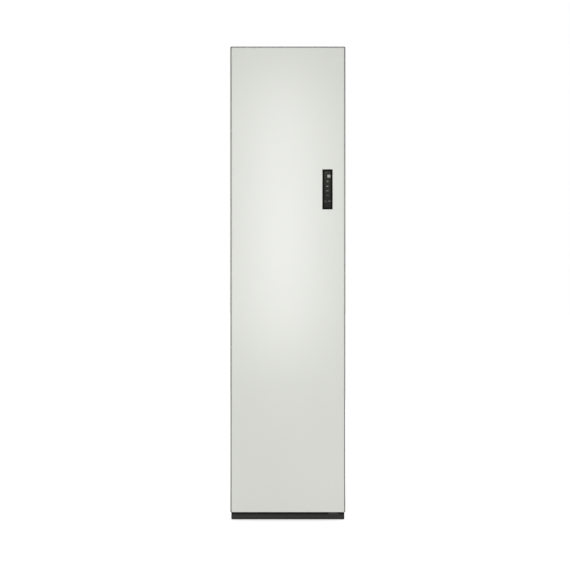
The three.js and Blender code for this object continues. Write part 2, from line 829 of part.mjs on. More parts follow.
function makeServiceCover() {
  const cover = new THREE.Group();
  const x = grown([-halfWidth, halfWidth], -serviceGap);
  const z = [sideBottom + serviceGap, chamberFloor - serviceGap];
  const y = [casingBack + fit, casingBack + fit + sheet];
  const slots = Array.from({ length: louvres }, (_, i) => {
    const slotZ = about(z[0] + louvreRise + i * louvrePitch, louvreHeight);
    return block(about(0, louvreWidth), grown(y, overrun), slotZ);
  });
  const gland = [x[0] + glandInset, z[0] + glandRise];
  const plate = cut(block(x, y, z), rodY(glandRadius - glandHead, gland, grown(y, overrun)), ...slots);
  const lip = joined(
    block([x[0] + rearReturn, x[1] - rearReturn], [y[0] - serviceBend, y[1]], [z[1] - sheet, z[1]]),
    plate,
  );
  const body = joined(
    rodY(glandRadius, gland, [y[1] + fit, depth / 2]),
    rodY(glandRadius - glandHead - fit, gland, [y[0] - glandNut, depth / 2]),
    rodY(glandRadius, gland, [y[0] - glandNut, y[0] - fit], 6),
  );
  const cordGland = cut(body, rodY(glandBore, gland, [y[0] - glandNut - overrun, depth / 2 + overrun]));
  cover.add(
    piece("rear_service_cover", lip, "zincSteel"),
    piece("cord_gland", cordGland, "plinthBlack"),
  );
  return cover;
}

function makeFrontFrame() {
  const y = [frontFace, frameBack];
  const ring = cut(
    block([-casingInner, casingInner], y, [frameBottom, sideTop]),
    alongY(
      roundedOutline([-openingHalf, openingHalf], [openingBottom, openingTop], frameOpeningCorner),
      grown(y, overrun),
    ),
  );
  return piece("front_frame", ring, "innerGrey");
}

// Chamber walls: each side liner has a flange behind the front frame and a ledge for the shelf.
function makeSideLiner(name, side) {
  const span = (a, b) => (side > 0 ? [a, b] : [-b, -a]);
  const z = [chamberFloor + fit, chamberCeiling - fit];
  const y = [chamberFront, chamberBack - fit];
  const ledgeTop = chamberFloor + shelfRise - shelfThickness - fit;
  const liner = joined(
    block(span(chamberHalf, chamberOuter), y, z),
    block(span(chamberHalf, flangeHalf), [chamberFront, chamberFront + wall], z),
    block(
      span(chamberHalf - ledgeWidth, chamberHalf + wall / 2),
      [chamberFront + shelfFrontSetback, chamberBack - backRibDepth - shelfBackGap],
      [ledgeTop - ledgeThickness, ledgeTop],
    ),
  );
  return piece(name, liner, "chamberGrey");
}

const nozzleZ = chamberFloor + nozzleRise;

function makeBackLiner() {
  const z = [chamberFloor + fit, chamberCeiling - fit];
  const ribMargin = (z[1] - z[0]) * backRibMarginShare;
  const ribZ = [z[0] + shelfRise + ribMargin, z[1] - ribMargin];
  const ribPitch = (2 * chamberHalf) / (backRibs + 1);
  const ribs = Array.from({ length: backRibs }, (_, i) =>
    block(
      about((i - (backRibs - 1) / 2) * ribPitch, backRibWidth),
      [chamberBack - backRibDepth, chamberBack + wall / 2],
      ribZ,
    ),
  );
  const slots = Array.from({ length: airSlots }, (_, i) =>
    block(
      about(-chamberHalf / 2, airSlotWidth),
      [chamberBack - overrun, chamberBack + wall + overrun],
      about(z[0] + airSlotRise + i * airSlotPitch, airSlotHeight),
    ),
  );
  const plate = block([-chamberOuter, chamberOuter], [chamberBack, chamberBack + wall], z);
  const steamHole = rodY(steamPipeRadius + fit, [steamPipeX, nozzleZ], [
    chamberBack - overrun,
    chamberBack + wall + overrun,
  ]);
  return piece("back_liner", cut(joined(plate, ...ribs), steamHole, ...slots), "chamberGrey");
}

// Filter well and filter share these spans.
const wellX = [-chamberHalf + filterInset, -chamberHalf + filterInset + filterWidth];
const wellY = [caseFront + filterSetback, caseFront + filterSetback + filterLength];

function makeFloorPanel() {
  const panel = joined(
    block([-chamberOuter, chamberOuter], [chamberFront, caseBack], [floorUnder, chamberFloor]),
    block(grown(wellX, wall), grown(wellY, wall), [chamberFloor - filterDepth, floorUnder + wall / 2]),
  );
  const hole = block(wellX, wellY, [chamberFloor - filterDepth - overrun, chamberFloor + overrun]);
  return piece("floor_panel", cut(panel, hole), "chamberGrey");
}

// Lint filter: a basket with a lip on the floor panel, a barred bottom and a handle.
function makeLintFilter() {
  const x = grown(wellX, -filterGap);
  const y = grown(wellY, -filterGap);
  const top = chamberFloor + fit + filterLipThickness;
  const bottom = chamberFloor - filterDepth;
  const inX = grown(x, -filterWall);
  const inY = grown(y, -filterWall);
  const pitch = (inY[1] - inY[0]) / (filterBars + 1);
  const bars = Array.from({ length: filterBars }, (_, i) =>
    block(
      grown(inX, filterWall / 2),
      about(inY[0] + (i + 1) * pitch, filterBarThickness * 2),
      [bottom, bottom + filterBarThickness],
    ),
  );
  const shell = cut(
    joined(
      block(x, y, [bottom, top]),
      block(grown(x, filterLip), grown(y, filterLip), [chamberFloor + fit, top]),
    ),
    block(inX, inY, [bottom - overrun, top + overrun]),
  );
  const handle = block(
    [inX[0] - filterWall / 2, inX[1] + filterWall / 2],
    about((y[0] + y[1]) / 2, filterHandle),
    [top - filterHandleHeight, top],
  );
  return piece("lint_filter", joined(shell, handle, ...bars), "darkPlastic");
}

const hangerPlaces = [
  ["hanger_left", -hangerPitch],
  ["hanger_centre", 0],
  ["hanger_right", hangerPitch],
];

// Ceiling: a plate with a socket for each hanger, an opening for the lamp and an upper fascia.
function makeCeilingPanel() {
  const plate = joined(
    block([-chamberOuter, chamberOuter], [chamberFront, caseBack], [chamberCeiling, ceilingTop]),
    block([-flangeHalf, flangeHalf], [chamberFront, chamberFront + wall], [
      chamberCeiling,
      openingTop + linerFlange,
    ]),
    ...hangerPlaces.map(([, x]) =>
      rodZ(neckRadius + fit + socketWall, [x, chamberMiddle], [
        chamberCeiling - socketDepth,
        chamberCeiling + wall / 2,
      ]),
    ),
  );
  const necks = hangerPlaces.map(([, x]) =>
    rodZ(neckRadius + fit, [x, chamberMiddle], [chamberCeiling - socketDepth - overrun, chamberCeiling]),
  );
  const airHoles = hangerPlaces.map(([, x]) =>
    rodZ(neckBore, [x, chamberMiddle], [chamberCeiling - overrun, ceilingTop + overrun]),
  );
  const lampHole = block(about(0, lampWidth - 2 * lampLip + 2 * fit), grown(lampY, -lampLip / 2 + fit), [
    chamberCeiling - overrun,
    ceilingTop + overrun,
  ]);
  return piece("ceiling_panel", cut(plate, lampHole, ...necks, ...airHoles), "chamberGrey");
}

function makeLamp() {
  const body = joined(
    block(about(0, lampWidth), lampY, [chamberCeiling - fit - lampLipThickness, chamberCeiling - fit]),
    block(about(0, lampWidth - 2 * lampLip), grown(lampY, -lampLip / 2), [
      chamberCeiling - fit - lampLipThickness / 2,
      ceilingTop + lampBody,
    ]),
  );
  return piece("chamber_lamp", body, "lampWhite");
}

// Hanger: sloping shoulders front to back under a hollow neck that plugs into the ceiling.
function makeHanger([name, x]) {
  const half = hangerSpan / 2;
  const shoulder = -neckLength;
  const tip = shoulder - hangerDrop;
  const armMiddle = hangerArmHeight / 2;
  const under = shoulder - hangerArmHeight;
  const crown = shoulder + hangerArmHeight * hangerCrownShare;
  const outline = new THREE.Shape();
  outline.moveTo(0, crown);
  outline.quadraticCurveTo(half / 2, shoulder, half, tip);
  outline.lineTo(half - armMiddle, tip - armMiddle);
  outline.quadraticCurveTo(half / 2, under, 0, under);
  outline.quadraticCurveTo(-half / 2, under, -half + armMiddle, tip - armMiddle);
  outline.lineTo(-half, tip);
  outline.quadraticCurveTo(-half / 2, shoulder, 0, crown);
  const hanger = cut(
    joined(
      alongX(outline, about(0, hangerThickness)),
      rodZ(neckRadius, [0, 0], [shoulder - armMiddle, 0]),
    ),
    rodZ(neckBore, [0, 0], [-neckBoreDepth, overrun]),
    block(about(0, 4 * neckRadius), about(0, neckBore / 2), [-neckAir, overrun]),
  );
  const mesh = piece(name, hanger, "darkPlastic");
  mesh.position.set(x, chamberMiddle, chamberCeiling - fit);
  return mesh;
}

// Shelf: a slotted tray that lies on the liners' ledges.
function makeShelf() {
  const x = grown([-chamberHalf, chamberHalf], -shelfSideGap);
  const y = [chamberFront + shelfFrontSetback, chamberBack - backRibDepth - shelfBackGap];
  const z = [chamberFloor + shelfRise - shelfThickness, chamberFloor + shelfRise];
  const fieldX = grown(x, -shelfRim);
  const fieldY = grown(y, -shelfRim);
  const pitch = (fieldX[1] - fieldX[0]) / shelfSlots;
  const slots = Array.from({ length: shelfSlots }, (_, i) =>
    block(
      about(fieldX[0] + (i + 1 / 2) * pitch, pitch * (1 - shelfBarShare)),
      fieldY,
      grown(z, overrun),
    ),
  );
  return piece("shelf", cut(block(x, y, z), ...slots), "chamberGrey");
}

// Tank bay: one moulding with two bays, standing on the base pan, and the lower fascia.
const dividerHalf = wall / 2;
const bayInner = chamberHalf - wall;

function makeTankBay() {
  const y = [chamberFront, bayBack];
  const z = [baseFloor + fit, bayTop];
  const bayZ = [bayFloor, bayTop - wall];
  const inside = [chamberFront - overrun, bayBack - wall];
  const bay = cut(
    joined(
      block([-chamberHalf, chamberHalf], y, z),
      block([-flangeHalf, flangeHalf], [chamberFront, chamberFront + wall], [frameBottom, bayTop]),
    ),
    block([-bayInner, -dividerHalf], inside, bayZ),
    block([dividerHalf, bayInner], inside, bayZ),
    block([-bayInner, bayInner], [chamberFront + wall, bayBack + overrun], [z[0] - overrun, bayFloor - wall]),
  );
  return piece("tank_bay", bay, "innerGrey");
}

// Water tank and lid: local x from the tank's left side, y from its front, z from its bottom.
const tankWidth = bayInner - dividerHalf - 2 * tankSideGap;
const tankDepth = bayBack - wall - tankTail - (chamberFront + tankRecess);
const tankHeight = bayTop - wall - bayFloor - 2 * fit - tankHeadroom - lidThickness;

function makeTank(prefix, left) {
  const tank = new THREE.Group();
  tank.position.set(left + tankSideGap, chamberFront + tankRecess, bayFloor + fit);
  const x = [0, tankWidth];
  const y = [0, tankDepth];
  const handleX = about(tankWidth / 2, handleWidth);
  const handleZ = [tankHeight - handleDrop - handleHeight, tankHeight - handleDrop];
  const shell = cut(
    alongZ(roundedOutline(x, y, tankCorner), [0, tankHeight]),
    alongZ(roundedOutline(grown(x, -tankWall), grown(y, -tankWall), tankCorner - tankWall), [
      tankWall,
      tankHeight + overrun,
    ]),
  );
  const pocket = block(
    grown(handleX, tankWall),
    [tankWall / 2, handleDepth + tankWall],
    grown(handleZ, tankWall),
  );
  const body = cut(joined(shell, pocket), block(handleX, [-overrun, handleDepth], handleZ));
  const lidZ = [tankHeight + fit, tankHeight + fit + lidThickness];
  const lid = cut(
    alongZ(roundedOutline(x, y, tankCorner), lidZ),
    rodZ(fillerRadius, [tankWidth / 2, tankDepth - fillerSetback], grown(lidZ, overrun)),
  );
  tank.add(
    piece(prefix + "_tank", body, "tankPlastic"),
    piece(prefix + "_tank_lid", lid, "darkPlastic"),
  );
  return tank;
}

// Heat pump: a case under the chamber floor, open at the top, on legs that stand on the base pan.
const caseHoleX = about(0, ductHalfWidth);
const outletZ = [caseFloor + wall + ductOutletRise, caseFloor + wall + ductOutletRise + ductOutletHeight];

function makeHeatPumpCase() {
  const x = [-chamberHalf, chamberHalf];
  const y = [caseFront, caseBack];
  const legsX = [[x[0], x[0] + legSize], [x[1] - legSize, x[1]]];
  const legsY = [[y[0], y[0] + legSize], [y[1] - legSize, y[1]]];
  const legZ = [baseFloor + fit, caseFloor + wall / 2];
  const legs = legsX.flatMap((lx) => legsY.map((ly) => block(lx, ly, legZ)));
  const shell = cut(
    block(x, y, [caseFloor, bayTop]),
    block(grown(x, -wall), grown(y, -wall), [caseFloor + wall, bayTop + overrun]),
    block(caseHoleX, [y[1] - wall - overrun, y[1] + overrun], outletZ),
    rodZ(shaftRadius * 2, [lowerFanX, lowerFanY], [caseFloor - overrun, caseFloor + 2 * overrun]),
    rodZ(pipeRadius + fit, [pipeEnd.x, pipeEnd.y], [caseFloor - overrun, caseFloor + 2 * overrun]),
  );
  return piece("heat_pump_case", joined(shell, ...legs), "darkPlastic");
}

// Finned exchangers side by side on the case floor, left of the fan and lower than the filter well.
const exchangerY = [caseFront + wall + exchangerEndGap, caseBack - wall - exchangerEndGap];
const condenserRight = lowerFanX - lowerFanRadius - exchangerFanGap;
const condenserX = [condenserRight - condenserWidth, condenserRight];
const evaporatorX = [condenserX[0] - exchangerGap - evaporatorWidth, condenserX[0] - exchangerGap];

function makeExchanger(name, x) {
  const z = [caseFloor + wall + fit, chamberFloor - filterDepth - exchangerHeadroom];
  const pitch = (exchangerY[1] - exchangerY[0]) / exchangerFins;
  const gaps = Array.from({ length: exchangerFins - 1 }, (_, i) =>
    block(
      grown(x, overrun),
      about(exchangerY[0] + (i + 1) * pitch, pitch * finGapShare),
      [z[0] + (z[1] - z[0]) / exchangerFins, z[1] + overrun],
    ),
  );
  return piece(name, cut(block(x, exchangerY, z), ...gaps), "finAluminium");
}

// Compressor with rounded shoulders on a flange with three rubber feet, and the pipe that leaves it.
const compressorTop = baseFloor + fit + compressorFoot + compressorHeight;
const pipeEnd = new THREE.Vector3(
  (evaporatorX[0] + evaporatorX[1]) / 2,
  compressorY - pipeRun,
  caseFloor + wall,
);

function makeCompressor() {
  const bottom = baseFloor + fit;
  const foot = compressorFoot;
  const profile = [
    [0, foot],
    [compressorRadius, foot],
    [compressorRadius, foot + compressorHeight - compressorShoulder],
    [compressorRadius - compressorShoulder, foot + compressorHeight],
    [0, foot + compressorHeight],
  ].map(([r, z]) => new THREE.Vector2(r, z));
  const can = solidFrom(
    new THREE.LatheGeometry(profile, fineSides)
      .rotateX(Math.PI / 2)
      .translate(compressorX, compressorY, bottom),
  );
  const feet = [0, 1, 2].map((i) => {
    const angle = (i * 2 * Math.PI) / 3;
    const spot = [
      compressorX + compressorFootRadius * Math.cos(angle),
      compressorY + compressorFootRadius * Math.sin(angle),
    ];
    return rodZ(bossRadius, spot, [bottom, bottom + 2 * foot]);
  });
  const flange = rodZ(compressorFootRadius, [compressorX, compressorY], [
    bottom + foot,
    bottom + foot + 2 * sheet,
  ]);
  return piece("compressor", joined(can, flange, ...feet), "blackSteel");
}

function makeRefrigerantPipe() {
  const points = [
    new THREE.Vector3(compressorX, compressorY, compressorTop + fit),
    new THREE.Vector3(compressorX, compressorY, compressorTop + pipeRise),
    new THREE.Vector3(pipeEnd.x, pipeEnd.y, compressorTop + pipeRise),
    new THREE.Vector3(pipeEnd.x, pipeEnd.y, caseFloor + wall),
  ];
  return piece("refrigerant_pipe", pipeAlong(points, pipeRadius, pipeRadius * 3), "copper");
}

// Fan wheel on the Z axis: a plate with a hub, upright blades and a ring on top of them.
function makeFanWheel(name, radius, wheelHeight, x, y, z) {
  const blades = Array.from({ length: fanBlades }, (_, i) => {
    const blade = new THREE.BoxGeometry(fanRing, fanBladeThickness, wheelHeight - fanPlate);
    blade.translate(radius - fanRing / 2 - fanBladeThickness / 2, 0, wheelHeight / 2);
    blade.rotateZ((i * 2 * Math.PI) / fanBlades);
    return solidFrom(blade);
  });
  const ring = cut(
    rodZ(radius, [0, 0], [wheelHeight - fanPlate, wheelHeight], fineSides),
    rodZ(radius - fanRing, [0, 0], [wheelHeight - overrun, wheelHeight + overrun], fineSides),
  );
  const wheel = cut(
    joined(
      rodZ(radius, [0, 0], [0, fanPlate], fineSides),
      rodZ(fanHub, [0, 0], [0, wheelHeight / 2]),
      ...blades,
      ring,
    ),
    rodZ(shaftRadius + fit, [0, 0], [-overrun, wheelHeight / 2 + overrun]),
  );
  const mesh = piece(name, wheel, "darkPlastic");
  mesh.position.set(x, y, z);
  return mesh;
}

// Motor with a flange; its shaft runs up (direction 1) or down (direction -1) from the flange.
function makeFanMotor(name, x, y, seat, direction, shaftEnd) {
  const range = (a, b) => [Math.min(a, b), Math.max(a, b)];
  const face = seat - direction * fit;
  const motor = joined(
    rodZ(motorRadius + motorFlangeExtra, [x, y], range(face, face - direction * motorFlange)),
    rodZ(motorRadius, [x, y], range(face, face - direction * motorHeight)),
    rodZ(shaftRadius, [x, y], range(face - direction * motorFlange, shaftEnd)),
  );
  return piece(name, motor, "blackSteel");
}

// Steam generator on the base pan, and its pipe up to a nozzle on the chamber's back wall.
const boilerY = [baseBack - baseSheet - boilerBackGap - boilerDepth, baseBack - baseSheet - boilerBackGap];
const boilerTop = baseFloor + fit + boilerFoot + boilerHeight;

function makeSteamGenerator() {
  const x = about(boilerX, boilerWidth);
  const bottom = baseFloor + fit;
  const body = joined(
    alongZ(roundedOutline(x, boilerY, boilerCorner), [bottom + boilerFoot, boilerTop]),
    block(grown(x, -boilerCorner), grown(boilerY, -boilerCorner), [bottom, bottom + 2 * boilerFoot]),
  );
  return piece("steam_generator", body, "finAluminium");
}

function makeSteamPipe() {
  const y = (boilerY[0] + boilerY[1]) / 2;
  const points = [
    new THREE.Vector3(steamPipeX, y, boilerTop + fit),
    new THREE.Vector3(steamPipeX, y, nozzleZ),
    new THREE.Vector3(steamPipeX, chamberBack - nozzleDepth / 2, nozzleZ),
  ];
  const nozzleY = [chamberBack - fit - nozzleDepth, chamberBack - fit];
  const nozzle = cut(
    rodY(nozzleRadius, [steamPipeX, nozzleZ], nozzleY),
    rodY(nozzleHole, [steamPipeX, nozzleZ], [nozzleY[0] - overrun, nozzleY[0] + nozzleDepth / 4]),
  );
  const pipe = joined(pipeAlong(points, steamPipeRadius, steamPipeBend), nozzle);
  return piece("steam_pipe", pipe, "darkPlastic");
}

// Water pump lying on the base pan, with a port at its end.
function makePump(name, x) {
  const bottom = baseFloor + fit;
  const axis = bottom + pumpBase + pumpRadius;
  const y = about(pumpY, pumpLength);
  const pump = joined(
    rodY(pumpRadius, [x, axis], y),
    block(about(x, 2 * pumpRadius), grown(y, -pumpBase), [bottom, axis - pumpRadius / 2]),
    rodY(pumpPort, [x, axis], [y[1] - pumpBase, y[1] + pumpPortLength]),
    rodZ(pumpPort, [x, y[1] - pumpRadius], [axis, axis + pumpRadius + pumpPortLength]),
  );
  return piece(name, pump, "darkPlastic");
}

// Rear air duct: a channel behind the back wall, from the case's outlet up to the plenum.
const plenumZ = [ceilingTop + fit, ceilingTop + fit + plenumHeight];

function makeRearDuct() {
  const x = [-ductHalfWidth, ductHalfWidth];
  const y = [caseBack + fit, caseBack + fit + ductDepth];
  const z = [outletZ[0] - ductOutletRise, plenumZ[1]];
  const duct = cut(
    block(x, y, z),
    block(grown(x, -ductWall), [y[0] - overrun, y[1] - ductWall], grown(z, -ductWall)),
  );
  return piece("rear_air_duct", duct, "innerGrey");
}

// Upper plenum over the hanger sockets, open below and towards the rear duct.
function makePlenum() {
  const x = [-plenumHalfWidth, plenumHalfWidth];
  const y = [plenumFront, caseBack];
  const plenum = cut(
    block(x, y, plenumZ),
    block(grown(x, -wall), grown(y, -wall), [plenumZ[0] - overrun, plenumZ[1] - wall]),
    block([-ductHalfWidth + wall, ductHalfWidth - wall], [caseBack - wall - overrun, caseBack + overrun], [
      plenumZ[0] + wall,
      plenumZ[1] - 2 * wall,
    ]),
    rodZ(shaftRadius * 2, [0, upperFanY], [plenumZ[1] - 2 * overrun, plenumZ[1] + overrun]),
  );
  return piece("upper_plenum", plenum, "innerGrey");
}

// Main board in its tray, on the ceiling panel in front of the plenum.
function makeElectronics() {
  const electronics = new THREE.Group();
  const x = about(caseTrayX, caseTrayWidth);
  const y = caseTrayY;
  const z = [ceilingTop + fit, ceilingTop + fit + caseTrayHeight];
  const tray = cut(
    block(x, y, z),
    block(grown(x, -caseTrayWall), grown(y, -caseTrayWall), [z[0] + caseTrayWall, z[1] + overrun]),
  );
  const boardX = grown(x, -caseTrayWall - mainBoardGap);
  const boardY = grown(y, -caseTrayWall - mainBoardGap);
  const boardZ = z[0] + caseTrayWall + fit + mainBoardPost;
  const plate = [boardZ, boardZ + boardThickness];
  const postInset = 2 * mainBoardPostRadius;
  const posts = grown(boardX, -postInset).flatMap((px) =>
    grown(boardY, -postInset).map((py) =>
      rodZ(mainBoardPostRadius, [px, py], [boardZ - mainBoardPost, boardZ + boardThickness / 2], 8),
    ),
  );
  const middleY = (boardY[0] + boardY[1]) / 2;
  const partTop = boardZ + caseTrayHeight / 2;
  const chipTop = boardZ + caseTrayHeight / 4;
  const board = joined(
    block(boardX, boardY, plate),
    ...posts,
    block(about(x[0] + caseTrayWidth / 4, chipWidth), about(middleY, chipWidth), [boardZ, partTop]),
    block(about(x[1] - caseTrayWidth / 4, chipWidth), about(middleY, chipWidth), [boardZ, chipTop]),
    rodZ(capacitorRadius, [caseTrayX, middleY], [boardZ, partTop]),
  );
  electronics.add(piece("board_case", tray, "zincSteel"), piece("main_board", board, "boardGreen"));
  return electronics;
}

const lowerWheelZ = caseFloor + wall + fanFloorGap;
const upperWheelZ = ceilingTop + fanFloorGap;

const cabinet = new THREE.Group();
cabinet.name = "clothes_care_cabinet";
cabinet.add(
  makeDoor(),
  makeUpperHinge(),
  makeLowerHinge(),
  makeKickPlate(),
  makeBasePan(),
  ...footPlaces.map(makeFoot),
  makeSidePanel("left_side_panel", -1),
  makeSidePanel("right_side_panel", 1),
  makeTopCover(),
  makeBackPanel(),
  makeServiceCover(),
  makeFrontFrame(),
  makeSideLiner("left_liner", -1),
  makeSideLiner("right_liner", 1),
  makeBackLiner(),
  makeFloorPanel(),
  makeLintFilter(),
  makeCeilingPanel(),
  makeLamp(),
  ...hangerPlaces.map(makeHanger),
  makeShelf(),
  makeTankBay(),
  makeTank("supply", -bayInner),
  makeTank("drain", dividerHalf),
  makeHeatPumpCase(),
  makeExchanger("evaporator", evaporatorX),
  makeExchanger("condenser", condenserX),
  makeCompressor(),
  makeRefrigerantPipe(),
  makeFanWheel("lower_fan_wheel", lowerFanRadius, lowerFanHeight, lowerFanX, lowerFanY, lowerWheelZ),
  makeFanMotor("lower_fan_motor", lowerFanX, lowerFanY, caseFloor, 1, lowerWheelZ + lowerFanHeight / 3),
  makeFanWheel("upper_fan_wheel", upperFanRadius, upperFanHeight, 0, upperFanY, upperWheelZ),
  makeFanMotor("upper_fan_motor", 0, upperFanY, plenumZ[1], -1, upperWheelZ + fit),
  makeSteamGenerator(),
  makeSteamPipe(),
  makePump("feed_pump", feedPumpX),
  makePump("drain_pump", drainPumpX),
  makeRearDuct(),
  makePlenum(),
  makeElectronics(),
);

export default cabinet;
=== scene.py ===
import json
import math

import bmesh
import bpy
from mathutils import Matrix, Vector

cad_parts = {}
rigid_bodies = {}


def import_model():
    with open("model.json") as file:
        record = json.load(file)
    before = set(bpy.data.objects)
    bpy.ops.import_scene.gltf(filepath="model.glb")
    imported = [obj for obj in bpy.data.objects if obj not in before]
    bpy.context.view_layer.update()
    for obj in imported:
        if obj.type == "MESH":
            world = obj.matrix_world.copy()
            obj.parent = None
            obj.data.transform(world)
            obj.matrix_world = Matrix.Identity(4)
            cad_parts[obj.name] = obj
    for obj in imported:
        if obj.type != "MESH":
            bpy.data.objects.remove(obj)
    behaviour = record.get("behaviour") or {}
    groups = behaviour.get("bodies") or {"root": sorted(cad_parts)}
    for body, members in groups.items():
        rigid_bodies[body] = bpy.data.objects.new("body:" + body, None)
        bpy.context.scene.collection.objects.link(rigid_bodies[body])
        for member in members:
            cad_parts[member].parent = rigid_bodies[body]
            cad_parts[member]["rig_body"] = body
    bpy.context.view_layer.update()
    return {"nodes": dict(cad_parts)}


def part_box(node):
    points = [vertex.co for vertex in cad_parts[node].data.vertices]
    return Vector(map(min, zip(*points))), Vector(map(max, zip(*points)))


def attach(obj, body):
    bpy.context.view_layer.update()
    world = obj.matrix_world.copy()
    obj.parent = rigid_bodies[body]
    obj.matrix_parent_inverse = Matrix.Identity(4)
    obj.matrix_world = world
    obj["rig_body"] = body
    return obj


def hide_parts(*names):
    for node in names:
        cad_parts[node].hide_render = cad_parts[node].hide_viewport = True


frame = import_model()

# Camera and studio: the camera looks straight at the shut door from about half its height. The
# floor and the surround are white. A tall strip lamp behind the camera gives the door its soft
# glow, and wide lamps at the sides, behind and above light the casing and the panel's edges.
MM = 0.001
scene = bpy.context.scene
door_low, door_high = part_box("door_front_panel")

camera_distance, camera_side, camera_height, focal_length = 4.2, -0.0111, 0.9188, 68.7
camera_data = bpy.data.cameras.new("studio_camera")
camera_data.sensor_fit = "HORIZONTAL"
camera_data.sensor_width = 36
camera_data.lens = focal_length
camera = bpy.data.objects.new("studio_camera", camera_data)
camera.location = (camera_side, door_low.y - camera_distance, camera_height)
camera.rotation_euler = (math.radians(90), 0, 0)
scene.collection.objects.link(camera)
scene.camera = camera
scene.view_settings.view_transform = "Standard"


def linear(hex_colour):
    """A colour written in sRGB hex, as linear red, green, blue and alpha."""
    channels = [int(hex_colour[i:i + 2], 16) / 255 for i in (1, 3, 5)]
    return tuple(c / 12.92 if c <= 0.04045 else ((c + 0.055) / 1.055) ** 2.4
                 for c in channels) + (1.0,)


def add(tree, kind, settings=None, **inputs):
    """Adds a shader node with its settings; each input takes a value or another node's output."""
    node = tree.nodes.new("ShaderNode" + kind)
    for key, value in (settings or {}).items():
        setattr(node, key, value)
    for key, value in inputs.items():
        socket = node.inputs[int(key[1:]) if key[1:].isdigit() else key.replace("_", " ")]
        if isinstance(value, bpy.types.NodeSocket):
            tree.links.new(value, socket)
        else:
            socket.default_value = value
    return node


# The camera sees pure white, but the surround's light on the cabinet is half as strong.
world = bpy.data.worlds.new("white_surround")
world.use_nodes = True
world.node_tree.nodes.clear()
path = add(world.node_tree, "LightPath")
seen = add(world.node_tree, "Background", Color=(1, 1, 1, 1), Strength=1.0)
lit = add(world.node_tree, "Background", Color=(0.99, 1, 0.985, 1), Strength=0.5)
surround = add(world.node_tree, "MixShader", i0=path.outputs["Is Camera Ray"], i1=lit.outputs[0],
               i2=seen.outputs[0])
add(world.node_tree, "OutputWorld", Surface=surround.outputs[0])
scene.world = world


def studio_lamp(name, place, target, size, power):
    """A rectangular lamp at a place, turned towards a target."""
    data = bpy.data.lights.new(name, "AREA")
    data.shape = "RECTANGLE"
    data.size, data.size_y = size
    data.energy = power
    lamp = bpy.data.objects.new(name, data)
    lamp.location = place
    lamp.rotation_euler = (Vector(target) - Vector(place)).to_track_quat("-Z", "Y").to_euler()
    scene.collection.objects.link(lamp)


studio_lamp("glow_lamp", (-0.03, -4.9, 1.5), (-0.03, 0, 1.42), (0.22, 2.2), 48)
studio_lamp("left_lamp", (-3.4, -0.45, 1.5), (0, -0.2, 0.9), (0.8, 2.4), 20)
studio_lamp("right_lamp", (3.4, -0.45, 1.5), (0, -0.2, 0.9), (0.8, 2.4), 25)
studio_lamp("back_lamp", (0.6, 4.2, 2.2), (0, 0.2, 0.9), (1.6, 1.6), 26)
studio_lamp("top_lamp", (0, -0.3, 4.2), (0, -0.1, 1.8), (1.6, 1.6), 32)


def new_finish(name, colour, metallic, roughness, ior=1.5):
    """A material with its main shader set; returns the material, its tree and the shader."""
    finish = bpy.data.materials.new(name)
    finish.use_nodes = True
    tree = finish.node_tree
    shader = tree.nodes["Principled BSDF"]
    shader.inputs["Base Color"].default_value = linear(colour)
    shader.inputs["Metallic"].default_value = metallic
    shader.inputs["Roughness"].default_value = roughness
    shader.inputs["IOR"].default_value = ior
    return finish, tree, shader


# White floor paint: it glows a little, to look as white as the surround.
floor_paint, tree, shader = new_finish("white_floor_paint", "#F4F4F2", 0.0, 0.9)
shader.inputs["Emission Color"].default_value = (1, 1, 1, 1)
shader.inputs["Emission Strength"].default_value = 0.72
floor_half = 30
floor_mesh = bpy.data.meshes.new("studio_floor")
bm = bmesh.new()
bmesh.ops.create_grid(bm, x_segments=1, y_segments=1, size=floor_half)
bm.to_mesh(floor_mesh)
bm.free()
floor_mesh.materials.append(floor_paint)
floor = bpy.data.objects.new("studio_floor", floor_mesh)
scene.collection.objects.link(floor)

# Base pan: 1.5 mm steel, folded up all round and painted black, so that nothing bright shows in
# the gap under the door. The legs of everything in the base stand on it.


def scale_for(size_mm):
    """The scale at which a texture's features have about the given size."""
    return 1000 / size_mm


def between(tree, value, colour_a, colour_b, low=0.0, high=1.0, interpolation="LINEAR"):
    """The colour that a value picks from a ramp between two colours, at a low and a high value."""
    ramp = add(tree, "ValToRGB", Fac=value)
    ramp.color_ramp.interpolation = interpolation
    ramp.color_ramp.elements[0].position = low
    ramp.color_ramp.elements[1].position = high
    ramp.color_ramp.elements[0].color = linear(colour_a)
    ramp.color_ramp.elements[1].color = linear(colour_b)
    return ramp.outputs["Color"]


def mottle(tree, shader, colour_a, colour_b, size_mm, roughness_range, stretch=(1, 1, 1)):
    """Slow change of colour and gloss over a surface, in patches of about the given size; returns
    the place on the surface, for the finer textures."""
    noise_low, noise_high = 0.3, 0.7
    place = add(tree, "TexCoord").outputs["Object"]
    scaled = add(tree, "Mapping", Vector=place, Scale=stretch).outputs[0]
    noise = add(tree, "TexNoise", Vector=scaled, Scale=scale_for(size_mm), Detail=4.0)
    patches = noise.outputs["Fac"]
    colour = between(tree, patches, colour_a, colour_b, noise_low, noise_high)
    tree.links.new(colour, shader.inputs["Base Color"])
    low, high = roughness_range
    gloss = add(tree, "MapRange", Value=patches, From_Min=noise_low, From_Max=noise_high,
                To_Min=low, To_Max=high)
    tree.links.new(gloss.outputs[0], shader.inputs["Roughness"])
    return scaled


def emboss(tree, shader, height, strength, depth_mm):
    """Bumps that follow a texture's output, with the given depth between its low and its high."""
    relief = add(tree, "Bump", Height=height, Strength=strength, Distance=depth_mm * MM)
    tree.links.new(relief.outputs[0], shader.inputs["Normal"])


def grain(tree, shader, place, size_mm, depth_mm, strength, detail=2.0):
    """Fine bumps of the given size and depth."""
    bumps = add(tree, "TexNoise", Vector=place, Scale=scale_for(size_mm), Detail=detail)
    emboss(tree, shader, bumps.outputs["Fac"], strength, depth_mm)


